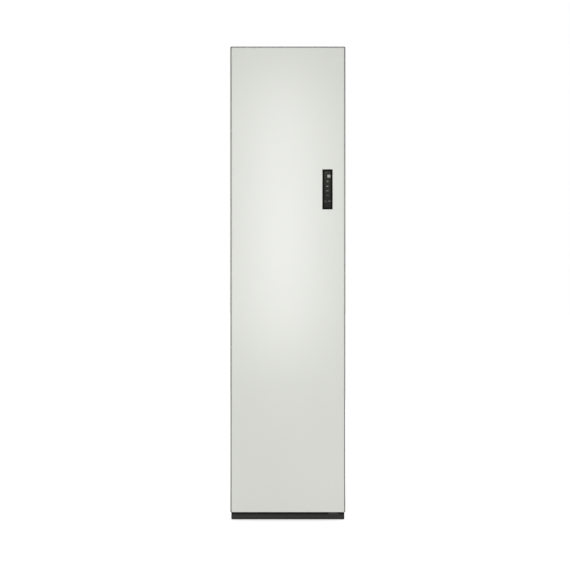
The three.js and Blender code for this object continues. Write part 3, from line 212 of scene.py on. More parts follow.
def finish_piece(name, bm, finish, body, sharp=40):
    """Turns a bmesh into a piece with its finish, smooth across gentle angles, riding on a body."""
    mesh = bpy.data.meshes.new(name)
    bm.to_mesh(mesh)
    bm.free()
    for face in mesh.polygons:
        face.use_smooth = True
    mesh.set_sharp_from_angle(angle=math.radians(sharp))
    mesh.materials.append(finish)
    piece = bpy.data.objects.new(name, mesh)
    scene.collection.objects.link(piece)
    weights = piece.modifiers.new("even_normals", "WEIGHTED_NORMAL")
    weights.keep_sharp = True
    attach(piece, body)
    return piece


def round_off(bm, edges, radius, segments, clamp=False):
    """Rounds edges; clamp keeps neighbouring ones from running into each other."""
    bmesh.ops.bevel(bm, geom=edges, offset=radius, offset_type="OFFSET", segments=segments,
                    profile=0.5, affect="EDGES", clamp_overlap=clamp, material=-1)


def with_round_edges(node, finish, radius_mm, segments=2, from_angle=28, press=None):
    """Stands in for a CAD node with the same shape, its edges rounded as the real one's are; press
    adds what is pressed or moulded into its faces."""
    weld, flat = 0.01 * MM, math.radians(0.5)
    source = frame["nodes"][node]
    bm = bmesh.new()
    bm.from_mesh(source.data)
    bmesh.ops.remove_doubles(bm, verts=bm.verts, dist=weld)
    bmesh.ops.dissolve_limit(bm, angle_limit=flat, verts=bm.verts, edges=bm.edges)
    edges = [e for e in bm.edges
             if e.is_manifold and e.calc_face_angle(0) > math.radians(from_angle)]
    round_off(bm, edges, radius_mm * MM, segments, clamp=True)
    if press:
        press(bm)
    piece = finish_piece(node + "_finished", bm, finish, source["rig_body"])
    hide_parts(node)


# Black baked enamel on steel: an even film with a faint orange peel of 1.4 mm.
black_paint, tree, shader = new_finish("black_baked_enamel", "#1B1C1D", 0.0, 0.42, 1.4)
place = mottle(tree, shader, "#181919", "#1F2021", 60, (0.38, 0.48))
grain(tree, shader, place, 1.4, 0.03, 0.4)
with_round_edges("base_pan", black_paint, 0.5)

# Levelling feet: a black rubber pad moulded round a six-sided nut, on a zinc-plated M10 stud that
# screws up into the base pan's boss.
# Black rubber: matt, with a moulded skin of 1.5 mm. Its colour is darker than bare rubber: this is
# painted shade, so that the kick plate's lip can stand in for the door's shadow. The feet share the
# same colour.
black_rubber_and_shade, tree, shader = new_finish("black_moulded_rubber_and_shade", "#0F0F10", 0.0, 0.85, 1.35)
place = mottle(tree, shader, "#0B0B0C", "#131314", 30, (0.78, 0.9))
grain(tree, shader, place, 1.5, 0.08, 0.6)

# Bright zinc plate: cool light metal, a little cloudy in patches of 9 mm, with a skin of 0.8 mm.
zinc_plate, tree, shader = new_finish("bright_zinc_plate", "#BFC3C6", 1.0, 0.28)
place = mottle(tree, shader, "#B2B6B9", "#CBCFD2", 9, (0.22, 0.36))
grain(tree, shader, place, 0.8, 0.02, 0.4)

# A foot's sizes in mm, its heights from the pad's underside.
pad_profile = ((0, 0.3), (13.2, 0.3), (14, 0.6), (16.4, 3), (17, 3.8), (17, 7.6), (16.2, 8.6),
               (10.2, 9.0), (9.8, 10.2), (0, 10.2))
nut_radius, nut_height, nut_level, nut_bevel = 8.9, 4.8, 12.4, 0.5
stud_radius, thread_depth, thread_pitch, thread_start, run_out = 4.95, 0.7, 1.5, 15, 0.4


def turned(bm, profile, axis_point, steps):
    """A shape turned round a vertical axis from its outline, given as radius and height in mm."""
    weld = 0.005 * MM
    ends = [bm.verts.new(Vector((axis_point.x + r * MM, axis_point.y, axis_point.z + h * MM)))
            for r, h in profile]
    edges = [bm.edges.new(pair) for pair in zip(ends, ends[1:])]
    bmesh.ops.spin(bm, geom=ends + edges, cent=axis_point, axis=(0, 0, 1), angle=2 * math.pi,
                   steps=steps, use_merge=True)
    bmesh.ops.remove_doubles(bm, verts=bm.verts, dist=weld)
    bmesh.ops.recalc_face_normals(bm, faces=bm.faces)


for foot in ("front_left_foot", "front_right_foot", "rear_left_foot", "rear_right_foot"):
    low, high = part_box(foot)
    under = Vector(((low.x + high.x) / 2, (low.y + high.y) / 2, low.z))
    bm = bmesh.new()
    turned(bm, pad_profile, under, 40)
    pad = finish_piece(foot + "_pad", bm, black_rubber_and_shade, foot)
    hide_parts(foot)
    bm = bmesh.new()
    nut_middle = Matrix.Translation(under + Vector((0, 0, nut_level * MM)))
    bmesh.ops.create_cone(bm, cap_ends=True, segments=6, radius1=nut_radius * MM,
                          radius2=nut_radius * MM, depth=nut_height * MM, matrix=nut_middle)
    round_off(bm, bm.edges[:], nut_bevel * MM, 2)
    finish_piece(foot + "_nut", bm, zinc_plate, foot)
    bm = bmesh.new()
    core = stud_radius - thread_depth
    turns = int((high.z - low.z - (thread_start + 1) * MM) / (thread_pitch * MM))
    ridges = [(0, thread_start - run_out), (core, thread_start - run_out)]
    for turn in range(turns):
        ridges += [(core, thread_start + turn * thread_pitch),
                   (stud_radius, thread_start + (turn + 0.5) * thread_pitch)]
    thread_end = thread_start + turns * thread_pitch
    ridges += [(core, thread_end), (0, thread_end + run_out)]
    turned(bm, ridges, under, 20)
    finish_piece(foot + "_stud", bm, zinc_plate, foot)

# Kick plate: a charcoal moulding clipped on in front of the base pan, its sides running back past
# the front feet. A black rubber lip pushed over its upper edge closes the slot under the door. The
# lip is painted shade: a near-black strip that stands in for the door's shadow across the plate's
# top.
# Charcoal ABS: its fine grain is drawn at 1.1 mm, to show in a picture.
plinth_abs, tree, shader = new_finish("charcoal_moulded_abs", "#171714", 0.0, 0.5, 1.4)
place = mottle(tree, shader, "#131310", "#1B1B17", 140, (0.46, 0.56))
grain(tree, shader, place, 1.1, 0.05, 0.5)
with_round_edges("kick_plate", plinth_abs, 1.45, 4)


def skin(bm, loops, capped=True):
    """Joins each closed loop of points to the next by a row of faces, and closes the first and the
    last loop where it is capped; returns the rows."""
    count = len(loops[0])
    rows = []
    for near, far in zip(loops, loops[1:]):
        rows.append([bm.faces.new((near[i], near[(i + 1) % count], far[(i + 1) % count], far[i]))
                     for i in range(count)])
    if capped:
        bm.faces.new(loops[0][::-1])
        bm.faces.new(loops[-1])
    bmesh.ops.recalc_face_normals(bm, faces=bm.faces)
    return rows


# The lip's outline in mm, backwards from the plate's face and upwards from its upper edge.
lip_profile = ((-0.9, -10.0), (-0.6, -10.6), (-0.05, -10.6), (-0.05, 0.05), (3.6, 0.05), (3.6, 0.6),
               (0.2, 0.7), (-0.6, 0.3), (-0.9, -0.6))
lip_end_gap = 0.3 * MM
# The lip paints the door's shadow: a near-black strip along the kick plate's top, where the plate
# lies in the door's shade.
low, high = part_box("kick_plate")
bm = bmesh.new()
skin(bm, [[bm.verts.new((x, low.y + y * MM, high.z + z * MM)) for y, z in lip_profile]
          for x in (low.x + lip_end_gap, high.x - lip_end_gap)])
finish_piece("kick_plate_shade_lip", bm, black_rubber_and_shade, "cabinet")

# Casing: folded 1.2 mm steel, powder coated grey on the sides and the top. The folds have a small
# outer radius. The coat's leathery texture of about 1.5 mm breaks up highlights.
powder_grey, tree, shader = new_finish("powder_coated_steel", "#8F918F", 0.0, 0.5)
place = mottle(tree, shader, "#8D8F8D", "#919391", 300, (0.46, 0.56))
grain(tree, shader, place, 1.5, 0.06, 0.5)
for node in ("left_side_panel", "right_side_panel"):
    with_round_edges(node, powder_grey, 0.55)

# Back panel: galvanised sheet with long pressed beads that stiffen it. Zinc crystals of about 9 mm
# differ a little in grey and gloss.
crystal_size, wobble_size, wobble_share = 9, 14, 0.003
galvanised, tree, shader = new_finish("galvanised_steel", "#A4A8AA", 0.9, 0.42)
place = add(tree, "TexCoord").outputs["Object"]
wobble = add(tree, "TexNoise", Vector=place, Scale=scale_for(wobble_size), Detail=3.0)
bent = add(tree, "MixRGB", {"blend_type": "LINEAR_LIGHT"}, Fac=wobble_share, Color1=place,
           Color2=wobble.outputs["Color"])
spangle = add(tree, "TexVoronoi", Vector=bent.outputs[0], Scale=scale_for(crystal_size))
parts = add(tree, "SeparateColor", Color=spangle.outputs["Color"])
shades = between(tree, parts.outputs["Red"], "#9B9FA2", "#ABAFB2")
tree.links.new(shades, shader.inputs["Base Color"])
gloss = add(tree, "MapRange", Value=parts.outputs["Green"], To_Min=0.38, To_Max=0.5)
tree.links.new(gloss.outputs[0], shader.inputs["Roughness"])
grain(tree, shader, place, 3.0, 0.02, 0.3)

# The side of a recess, in steps: shares of the slope's width and of the depth.
recess_steps = ((0.2, 0.06), (0.15, 0.14), (0.3, 0.6), (0.15, 0.14), (0.2, 0.06))
reach = 1 * MM  # a recess's box goes this far past the face
back_low, back_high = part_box("back_panel")
bead_width, bead_height, bead_end, bead_slope = 30 * MM, 2.6 * MM, 90 * MM, 7 * MM
bead_places = (-0.13, 0.0, 0.13)


def cut(bm, point, normal, snap=0.0):
    """Cuts the faces along a plane; points closer than the snap distance count as lying on it."""
    bmesh.ops.bisect_plane(bm, geom=bm.verts[:] + bm.edges[:] + bm.faces[:], dist=snap,
                           plane_co=point, plane_no=normal)


def recess(bm, low, high, facing, slope, depth):
    """Presses the part of a flat face that lies inside a box in by a depth, or out by a negative
    one, with a side that curves over at its top and its foot."""
    for corner in (low, high):
        for axis in range(3):
            if not facing[axis]:
                cut(bm, corner, Vector([float(i == axis) for i in range(3)]), 0.02 * MM)
    inside = [f for f in bm.faces if f.normal.dot(Vector(facing)) > 0.99
              and all(a < c < b for a, c, b in zip(low, f.calc_center_median(), high))]
    for across, down in recess_steps:
        bmesh.ops.inset_region(bm, faces=inside, thickness=slope * across, depth=-depth * down,
                               use_even_offset=True)


def press_back(bm):
    for x in bead_places:
        low = Vector((x - bead_width / 2, back_low.y - reach, back_low.z + bead_end))
        high = Vector((x + bead_width / 2, back_high.y + reach, back_high.z - bead_end))
        recess(bm, low, high, (0, 1, 0), bead_slope, -bead_height)


with_round_edges("back_panel", galvanised, 0.4, press=press_back)

# Back screws: zinc-plated pan heads with a cross recess, through the side panels' rear returns into
# the back panel, and through the service cover.


def screw(bm, place, axis, radius_mm=3.6, height_mm=1.9):
    """A pan head on a surface point, its domed top towards the axis, with a cross recess. Its rings
    hold shares of the radius, and a share of the height."""
    steps, cross_arm, cross_waist = 24, 0.46, 0.2
    turn = Vector(axis).to_track_quat("Z", "Y").to_matrix().to_4x4()
    turn.translation = place
    cross = [cross_arm if i % 6 in (5, 0, 1) else cross_waist for i in range(steps)]
    rings = (([1.0] * steps, 0), ([1.0] * steps, 0.4), ([0.86] * steps, 0.78), ([0.6] * steps, 1.0),
             (cross, 1.0), ([0.8 * width for width in cross], 0.35))
    loops = []
    for widths, level in rings:
        loop = []
        for i, width in enumerate(widths):
            angle = 2 * math.pi * i / steps
            r = width * radius_mm * MM
            point = Vector((r * math.cos(angle), r * math.sin(angle), level * height_mm * MM))
            loop.append(bm.verts.new(turn @ point))
        loops.append(loop)
    skin(bm, loops)


rear_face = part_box("left_side_panel")[1].y
cover_low, cover_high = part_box("rear_service_cover")
screw_line, screw_rows, screw_margin, cover_margin = 213.5 * MM, 7, 40 * MM, 14 * MM
row_pitch = (back_high.z - back_low.z - 2 * screw_margin) / (screw_rows - 1)
bm = bmesh.new()
for x in (-screw_line, screw_line):
    for row in range(screw_rows):
        screw(bm, Vector((x, rear_face, back_low.z + screw_margin + row * row_pitch)), (0, 1, 0))
    for z in (cover_low.z + cover_margin, (cover_low.z + cover_high.z) / 2,
              cover_high.z - cover_margin):
        screw(bm, Vector((x, cover_high.y, z)), (0, 1, 0))
finish_piece("back_screws", bm, zinc_plate, "cabinet")

# Rating label: a pale satin foil stuck to the back panel's foot, printed with plain dark lines.
# White foil print: an ink film a little uneven in cover, in patches of 6 mm.
white_print, tree, shader = new_finish("white_print", "#E4E6E4", 0.0, 0.55)
place = mottle(tree, shader, "#DDDFDD", "#EAECEA", 6, (0.5, 0.62))
grain(tree, shader, place, 0.8, 0.01, 0.3)


def plate(bm, middle, size, corner_mm):
    """An upright plate, thin from front to back, with rounded corners."""
    made = bmesh.ops.create_cube(bm, size=1)["verts"]
    bmesh.ops.scale(bm, vec=size, verts=made)
    bmesh.ops.translate(bm, vec=middle, verts=made)
    corners = [e for e in bm.edges
               if e.verts[0] in made and abs(e.verts[0].co.y - e.verts[1].co.y) > size.y / 2]
    round_off(bm, corners, corner_mm * MM, 4)


label_width, label_height, print_height = 88 * MM, 52 * MM, 0.1 * MM
label_middle = Vector((-150 * MM, back_high.y, back_low.z + label_height))
bm = bmesh.new()
plate(bm, label_middle, Vector((label_width, 4 * print_height, label_height)), 3)
finish_piece("rating_label", bm, white_print, "cabinet")

line_lengths = (60, 74, 52, 70, 46, 66, 58)
line_start, first_line, line_pitch, line_height = 38 * MM, 18 * MM, 6 * MM, 1.2 * MM
bm = bmesh.new()
for i, length in enumerate(line_lengths):
    middle = label_middle + Vector((line_start - length / 2 * MM, 2 * print_height,
                                    first_line - i * line_pitch))
    plate(bm, middle, Vector((length * MM, print_height, line_height)), 0.3)
finish_piece("label_lines", bm, black_paint, "cabinet")

# Service cover: a galvanised plate over the machinery. Above each of its air slots the sheet is
# pressed out to a shallow hood that sheds drips. The cord gland is screwed in its lower corner.
with_round_edges("rear_service_cover", galvanised, 0.4)
slot_middle = (cover_low.x + cover_high.x) / 2
slots, first_slot, slot_pitch = 7, 74 * MM, 18 * MM
# A hood's outline in mm, backwards from the cover and upwards from its slot. Its ends are sunk.
hood_outer = ((0, 8.5), (0.7, 6.4), (1.7, 4.2), (2.2, 2.4), (2.3, -1.2))
hood_inner = ((1.5, -1.2), (1.4, 2.0), (0.9, 3.6), (-0.2, 5.4))
hood_half, hood_end, hood_steps, hood_sink = 121 * MM, 9 * MM, 5, 0.2
stations = [(hood_half - hood_end * i / hood_steps, math.sin(math.pi / 2 * i / hood_steps))
            for i in range(hood_steps + 1)]
stations += [(-x, lift) for x, lift in reversed(stations)]
bm = bmesh.new()
for i in range(slots):
    level = cover_low.z + first_slot + i * slot_pitch
    sections = []
    for x, lift in stations:
        sections.append([bm.verts.new((slot_middle + x,
                                       cover_high.y + (lift * (y + hood_sink) - hood_sink) * MM,
                                       level + z * MM)) for y, z in hood_outer + hood_inner])
    skin(bm, sections)
finish_piece("service_cover_hoods", bm, galvanised, "cabinet", 60)
with_round_edges("cord_gland", plinth_abs, 0.5)

# Front frame: one mid-grey ABS moulding round the chamber's opening, clipped to the casing. The
# seal closes on its flat face, and the opening's edge is well rounded.
# Mid-grey ABS: its fine grain is drawn at 1.1 mm, to show in a picture.
frame_abs, tree, shader = new_finish("mid_grey_moulded_abs", "#B7B9B8", 0.0, 0.48)
place = mottle(tree, shader, "#B1B3B2", "#BCBEBD", 180, (0.44, 0.53))
grain(tree, shader, place, 1.1, 0.05, 0.5)
with_round_edges("front_frame", frame_abs, 1.8, 3)

# Tank bay: two bays in one mid-grey moulding, standing on the base pan. A shallow field stiffens
# the fascia under the tanks.
fascia_half, fascia_slope, fascia_sink = 150 * MM, 6 * MM, 1.2 * MM
bay_field_low, bay_field_high = 98 * MM, 176 * MM


def fascia_field(bm, face, bottom, top):
    """A shallow field between two heights of a face that looks forwards."""
    recess(bm, Vector((-fascia_half, face - reach, bottom)),
           Vector((fascia_half, face + reach, top)), (0, -1, 0), fascia_slope, fascia_sink)


def press_bay(bm):
    fascia_field(bm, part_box("tank_bay")[0].y, bay_field_low, bay_field_high)


with_round_edges("tank_bay", frame_abs, 0.9, press=press_bay)

# Water tanks: blow-moulded smoke-blue clear plastic with a grip pocket, level marks on the front
# and a dark grey lid pressed on. The marks are printed white.
clear_tank, tree, shader = new_finish("smoke_blue_clear_plastic", "#BFCFD7", 0.0, 0.14, 1.45)
place = mottle(tree, shader, "#B7C8D1", "#C7D6DD", 70, (0.1, 0.18))
shader.inputs["Transmission Weight"].default_value = 0.55
grain(tree, shader, place, 5.0, 0.03, 0.3)

# Dark grey ABS: its spark-eroded grain of 0.3 mm is drawn at 1.1 mm, to show in a picture.
dark_abs, tree, shader = new_finish("dark_grey_moulded_abs", "#4A4D4F", 0.0, 0.5)
place = mottle(tree, shader, "#45484A", "#4F5254", 90, (0.46, 0.56))
grain(tree, shader, place, 1.1, 0.05, 0.5)

# The level marks in mm: distance from the edge beside the other tank, height, and length.
level_marks = [(32, 28, 12)] + [(29.5, 28 + 14 * i, 7) for i in range(1, 5)]
level_marks += [(32, 98, 12), (31, 110, 12)]
mark_height = 1.4
for tank, outward in (("supply_tank", -1), ("drain_tank", 1)):
    with_round_edges(tank, clear_tank, 1.2, 3)
    with_round_edges(tank + "_lid", dark_abs, 1.0, 3)
    low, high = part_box(tank)
    inner_edge = high.x if outward < 0 else low.x
    bm = bmesh.new()
    for from_edge, level, length in level_marks:
        middle = Vector((inner_edge + outward * from_edge * MM, low.y, low.z + level * MM))
        plate(bm, middle, Vector((length * MM, 2 * print_height, mark_height * MM)), 0.6)
    finish_piece(tank + "_level_marks", bm, white_print, tank)

# Chamber floor: a thick light-grey moulding under the chamber's walls, with a rounded well into
# which the lint filter drops.
# Light grey ABS: the grain of 0.4 mm is drawn at 1.6 mm, to show in a picture.
chamber_abs, tree, shader = new_finish("light_grey_moulded_abs", "#D5D6D4", 0.0, 0.42)
place = mottle(tree, shader, "#D0D1CF", "#DADBD9", 180, (0.38, 0.47))
grain(tree, shader, place, 1.6, 0.05, 0.5)
with_round_edges("floor_panel", chamber_abs, 1.2, 3)

# Lint filter: a dark basket with a carrying bar, hung in the floor's well by its lip. A pleated
# sheet of nylon gauze lies on its ribs.
with_round_edges("lint_filter", dark_abs, 0.6)


def stripes(tree, place, direction, width_mm):
    """Waves across an axis, their crests and hollows each about the given width: the wave node
    makes half a wave in about 1 / 6.28 of its scaled coordinate."""
    return add(tree, "TexWave", {"bands_direction": direction}, Vector=place,
               Scale=scale_for(width_mm) / 6.28).outputs["Fac"]


# Nylon gauze: a square weave of 0.3 mm threads, drawn 1.2 mm wide to show in a picture.
gauze, tree, shader = new_finish("nylon_gauze", "#8C9193", 0.0, 0.7)
place = mottle(tree, shader, "#7F8486", "#989D9F", 15, (0.62, 0.8))
weave = add(tree, "Math", {"operation": "MULTIPLY"}, i0=stripes(tree, place, "X", 1.2),
            i1=stripes(tree, place, "Y", 1.2))
emboss(tree, shader, weave.outputs[0], 0.8, 0.2)

low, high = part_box("lint_filter")
pleats, pleat_depth, wall_gap = 26, 4.5 * MM, 7.5 * MM
gauze_lift, gauze_thickness = 4.5 * MM, 0.4 * MM
bm = bmesh.new()
rows = []
for i in range(2 * pleats + 1):
    y = low.y + wall_gap + i * (high.y - low.y - 2 * wall_gap) / (2 * pleats)
    z = low.z + gauze_lift + (pleat_depth if i % 2 else 0)
    rows.append([bm.verts.new((x, y, z)) for x in (low.x + wall_gap, high.x - wall_gap)])
for near, far in zip(rows, rows[1:]):
    bm.faces.new((near[0], near[1], far[1], far[0]))
bm.normal_update()
bmesh.ops.solidify(bm, geom=bm.faces[:], thickness=gauze_thickness)
bmesh.ops.recalc_face_normals(bm, faces=bm.faces)
finish_piece("filter_gauze", bm, gauze, "lint_filter", 20)

# Chamber walls: light grey mouldings with shallow tall panels that stiffen them; the ledge for the
# shelf and the back wall's ribs and air slots are moulded in.
panel_slope, panel_sink = 9 * MM, 2.2 * MM
panel_edge, panel_gap, panel_foot, panel_head = 30 * MM, 24 * MM, 560 * MM, 50 * MM
for name, facing in (("left_liner", 1), ("right_liner", -1)):
    low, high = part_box(name)
    front, back = low.y + panel_edge, high.y - panel_edge
    width = (back - front - 2 * panel_gap) / 3

    def press_wall(bm):
        for i in range(3):
            y = front + i * (width + panel_gap)
            recess(bm, Vector((low.x - reach, y, panel_foot)),
                   Vector((high.x + reach, y + width, high.z - panel_head)), (facing, 0, 0),
                   panel_slope, panel_sink)

    with_round_edges(name, chamber_abs, 1.0, press=press_wall)
with_round_edges("back_liner", chamber_abs, 1.2, 3)

# Ceiling: a light grey moulding with three sockets that hold the hangers' necks and carry steam
# into them. The lamp in front of them is an opal acrylic bar, lit from behind.
ceiling_field_low, ceiling_field_high = 1712 * MM, 1782 * MM


def press_ceiling(bm):
    fascia_field(bm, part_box("ceiling_panel")[0].y, ceiling_field_low, ceiling_field_high)


with_round_edges("ceiling_panel", chamber_abs, 1.0, 3, press=press_ceiling)

# Opal acrylic: milky and smooth, with the lamp's warm light in it.
opal_acrylic, tree, shader = new_finish("opal_acrylic", "#F1F1EA", 0.0, 0.3, 1.49)
place = mottle(tree, shader, "#ECECE4", "#F5F5F0", 30, (0.26, 0.34))
grain(tree, shader, place, 3.0, 0.01, 0.2)
shader.inputs["Emission Color"].default_value = linear("#FFF6E4")
shader.inputs["Emission Strength"].default_value = 0.35
with_round_edges("chamber_lamp", opal_acrylic, 1.4, 4)

# Shelf: a removable light grey grating that lies on the walls' ledges. Its bars are rounded, so
# that they leave no mark on clothes.
with_round_edges("shelf", chamber_abs, 1.4, 3)

# Hangers: dark grey hollow mouldings with round shoulders that widen towards their ends. The neck
# pushes up into its socket; steam and air pass down it and out of small vents in the shoulders.
# All sizes are in mm, from the point where the neck meets the shoulders.
neck_length = 44
neck_profile = ((0, -12), (8.5, -9), (10.8, 0), (12, 5), (12, 43), (11.3, 44), (8.6, 44), (8, 43.2),
                (8, 14), (0, 14))
half_span, drop, arm_height, crown, squareness = 200, 78, 24, 6, 0.75
arm_half_width, arm_swell, fullest_at = 7.4, 3.6, 0.82
cap_rings = ((-6, 1.0), (-3.4, 0.94), (-1.4, 0.76), (-0.3, 0.42))
arm_steps, arm_sides = 44, 24
vent_pitch, vent_from, vent_to, vent_edge, vent_depth = 4, 6, 20, 0.7, 1.6


def arm_section(bm, middle, y, shrink):
    """A rounded section of the arm, y in mm from the neck."""
    t = min(abs(y) / half_span, 1)
    top = crown * (1 - t) ** 2 - drop * t ** 2
    under = -arm_height * (1 - t ** 2) - (drop + arm_height / 2) * t ** 2
    swell = math.sin(math.pi / 2 * min(t, fullest_at) / fullest_at) ** 2
    wide = shrink * (arm_half_width + arm_swell * swell)
    tall = shrink * (top - under) / 2
    ring = []
    for i in range(arm_sides):
        c, s = math.cos(2 * math.pi * i / arm_sides), math.sin(2 * math.pi * i / arm_sides)
        x = wide * math.copysign(abs(c) ** squareness, c)
        z = (top + under) / 2 + tall * math.copysign(abs(s) ** squareness, s)
        ring.append(bm.verts.new(middle + Vector((x * MM, y * MM, z * MM))))
    return ring


last = half_span + cap_rings[0][0]
spans = [(-half_span - out, shrink) for out, shrink in reversed(cap_rings[1:])]
spans += [(last * (2 * i / arm_steps - 1), 1.0) for i in range(arm_steps + 1)]
spans += [(half_span + out, shrink) for out, shrink in cap_rings[1:]]
for hanger in ("hanger_left", "hanger_centre", "hanger_right"):
    low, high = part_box(hanger)
    shoulder = Vector(((low.x + high.x) / 2, (low.y + high.y) / 2, high.z - neck_length * MM))
    bm = bmesh.new()
    rows = skin(bm, [arm_section(bm, shoulder, y, shrink) for y, shrink in spans])
    vents = [row[side] for i, row in enumerate(rows) for side in (0, arm_sides // 2)
             if i % vent_pitch == 1 and vent_from < abs(i - len(spans) / 2) < vent_to]
    bmesh.ops.inset_individual(bm, faces=vents, thickness=vent_edge * MM, depth=-vent_depth * MM)
    turned(bm, neck_profile, shoulder, 32)
    piece = finish_piece(hanger + "_moulding", bm, dark_abs, hanger)
    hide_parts(hanger)

# Top cover: folded steel, powder coated like the sides, with a shallow pressed field that stiffens
# it. Six screws hold it down along the sides.
top_low, top_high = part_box("top_cover")
top_field_side, top_field_front, top_field_back = 30 * MM, 70 * MM, 35 * MM
top_slope, top_sink = 7 * MM, 1.0 * MM
top_screw_line, top_screw_places = 212.5 * MM, (-0.14, 0.075, 0.29)


def press_top(bm):
    recess(bm, Vector((top_low.x + top_field_side, top_low.y + top_field_front, top_low.z - reach)),
           Vector((top_high.x - top_field_side, top_high.y - top_field_back, top_high.z + reach)),
           (0, 0, 1), top_slope, top_sink)


with_round_edges("top_cover", powder_grey, 0.55, press=press_top)
bm = bmesh.new()
for x in (-top_screw_line, top_screw_line):
    for y in top_screw_places:
        screw(bm, Vector((x, y, top_high.z)), (0, 0, 1))
finish_piece("top_screws", bm, zinc_plate, "cabinet")

# Hinges: a zinc-plated steel plate above and a black enamelled bracket below, each with a pin for
# the door's bushes. A grey moulded cover clips over the upper plate and is held by one screw.
with_round_edges("upper_hinge_bracket", zinc_plate, 0.5)
with_round_edges("lower_hinge_bracket", black_paint, 0.9)
low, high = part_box("lower_hinge_bracket")
flange_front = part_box("base_pan")[0].y - 3.1 * MM
flange_screws, flange_level = (168 * MM, 196 * MM), (low.z + high.z) / 2 + 3 * MM
bm = bmesh.new()
for x in flange_screws:
    screw(bm, Vector((x, flange_front, flange_level)), (0, -1, 0), 3.2, 1.6)
finish_piece("lower_hinge_screws", bm, zinc_plate, "cabinet")

# Grey ABS, a shade lighter than the casing: its fine grain is drawn at 1.1 mm.
cover_abs, tree, shader = new_finish("grey_moulded_abs", "#969896", 0.0, 0.48)
place = mottle(tree, shader, "#919391", "#9B9D9B", 90, (0.44, 0.53))
grain(tree, shader, place, 1.1, 0.05, 0.5)
low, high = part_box("upper_hinge_cover")
well_side, well_front, well_back = 7 * MM, 20 * MM, 13 * MM
well_slope, well_sink, head_sink = 2.2 * MM, 1.0 * MM, 2.1 * MM
well_low = Vector((low.x + well_side, low.y + well_front, high.z - reach))
well_high = Vector((high.x - well_side, high.y - well_back, high.z + reach))


def press_cover(bm):
    recess(bm, well_low, well_high, (0, 0, 1), well_slope, well_sink)


with_round_edges("upper_hinge_cover", cover_abs, 1.0, 4, 20, press_cover)
bm = bmesh.new()
screw_place = Vector(((low.x + high.x) / 2, (well_low.y + well_high.y) / 2, high.z - head_sink))
screw(bm, screw_place, (0, 0, 1), 3.4, 1.8)
finish_piece("hinge_cover_screw", bm, zinc_plate, "cabinet")

# Door core: an expanded bead foam block between the panels, closed by dark grey end caps that hold
# the hinge bushes.
# Expanded foam: cream beads of about 4 mm pressed together.
bead_foam, tree, shader = new_finish("expanded_bead_foam", "#E9DFBD", 0.0, 0.95)
place = mottle(tree, shader, "#E2D7B2", "#EFE7CB", 60, (0.9, 0.98))
beads = add(tree, "TexVoronoi", Vector=place, Scale=scale_for(4))
emboss(tree, shader, beads.outputs["Distance"], 0.6, 0.4)


def on_node(name, finish):
    """Gives a CAD node its finish."""
    node = frame["nodes"][name]
    if not node.material_slots:
        node.data.materials.append(finish)
    node.material_slots[0].link = "OBJECT"
    node.material_slots[0].material = finish


on_node("door_foam", bead_foam)
for node in ("door_top_cap", "door_bottom_cap"):
    with_round_edges(node, dark_abs, 0.6)

# Door frame: an arch of anodised aluminium extrusion that wraps the sides and top of the door, with
# a drawn groove along the back of each side. The grip is a dark channel let into its free side.
# Anodised aluminium: satin grey with lines along the extrusion, drawn about 0.6 mm apart.
anodised_edge, tree, shader = new_finish("satin_anodised_aluminium", "#6F706E", 0.6, 0.38)
place = mottle(tree, shader, "#6A6B69", "#747573", 160, (0.34, 0.42), (1, 1, 0.05))
grain(tree, shader, place, 0.625, 0.02, 0.25, 1.0)
frame_low, frame_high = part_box("door_frame")
groove_from_back, groove_width, groove_end = 4.5 * MM, 4 * MM, 25 * MM
groove_slope, groove_sink = 0.7 * MM, 0.9 * MM


def draw_grooves(bm):
    back = frame_high.y - groove_from_back
    for x, facing in ((frame_low.x, -1), (frame_high.x, 1)):
        recess(bm, Vector((x - reach, back - groove_width, frame_low.z - reach)),
               Vector((x + reach, back, frame_high.z - groove_end)), (facing, 0, 0),
               groove_slope, groove_sink)


with_round_edges("door_frame", anodised_edge, 0.9, 3, 50, draw_grooves)
with_round_edges("grip_moulding", dark_abs, 0.8, 3)

# Door panel: a flat satin off-white sheet with softly rounded front edges and an opening for the
# control window, glued into the metal frame, whose edge shows on three sides.
# Satin paint: a sprayed film with a faint orange peel of 2 mm, which keeps reflections soft.
satin_white, tree, shader = new_finish("satin_white_paint", "#BEBFBA", 0.0, 0.25)
place = mottle(tree, shader, "#BDBEB9", "#C0C1BC", 420, (0.24, 0.27))
grain(tree, shader, place, 2.2, 0.012, 0.35)
panel_radius, panel_corner_mm, window_gap = 3.0 * MM, 3.6, 0.3 * MM
window_low, window_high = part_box("control_window")


def soften_front(bm, front, radius, segments):
    """Rounds the edges that lie in the plane of the front."""
    edges = [e for e in bm.edges if all(abs(v.co.y - front) < MM / 10 for v in e.verts)]
    round_off(bm, edges, radius, segments)


def in_window(face):
    """Whether a face lies in the opening for the control window."""
    middle = face.calc_center_median()
    return window_low.x < middle.x < window_high.x and window_low.z < middle.z < window_high.z


bm = bmesh.new()
plate(bm, (door_high + door_low) / 2, door_high - door_low, panel_corner_mm)
soften_front(bm, door_low.y, panel_radius, 6)
across, upwards = Vector((window_gap, 0, 0)), Vector((0, 0, window_gap))
for point, normal in ((window_low - across, (1, 0, 0)), (window_high + across, (1, 0, 0)),
                      (window_low - upwards, (0, 0, 1)), (window_high + upwards, (0, 0, 1))):
    cut(bm, point, normal)
bmesh.ops.delete(bm, geom=[f for f in bm.faces if in_window(f)], context="FACES")
bmesh.ops.bridge_loops(bm, edges=[e for e in bm.edges if e.is_boundary])
bmesh.ops.recalc_face_normals(bm, faces=bm.faces)
panel = finish_piece("door_panel", bm, satin_white, "door")
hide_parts("door_front_panel")

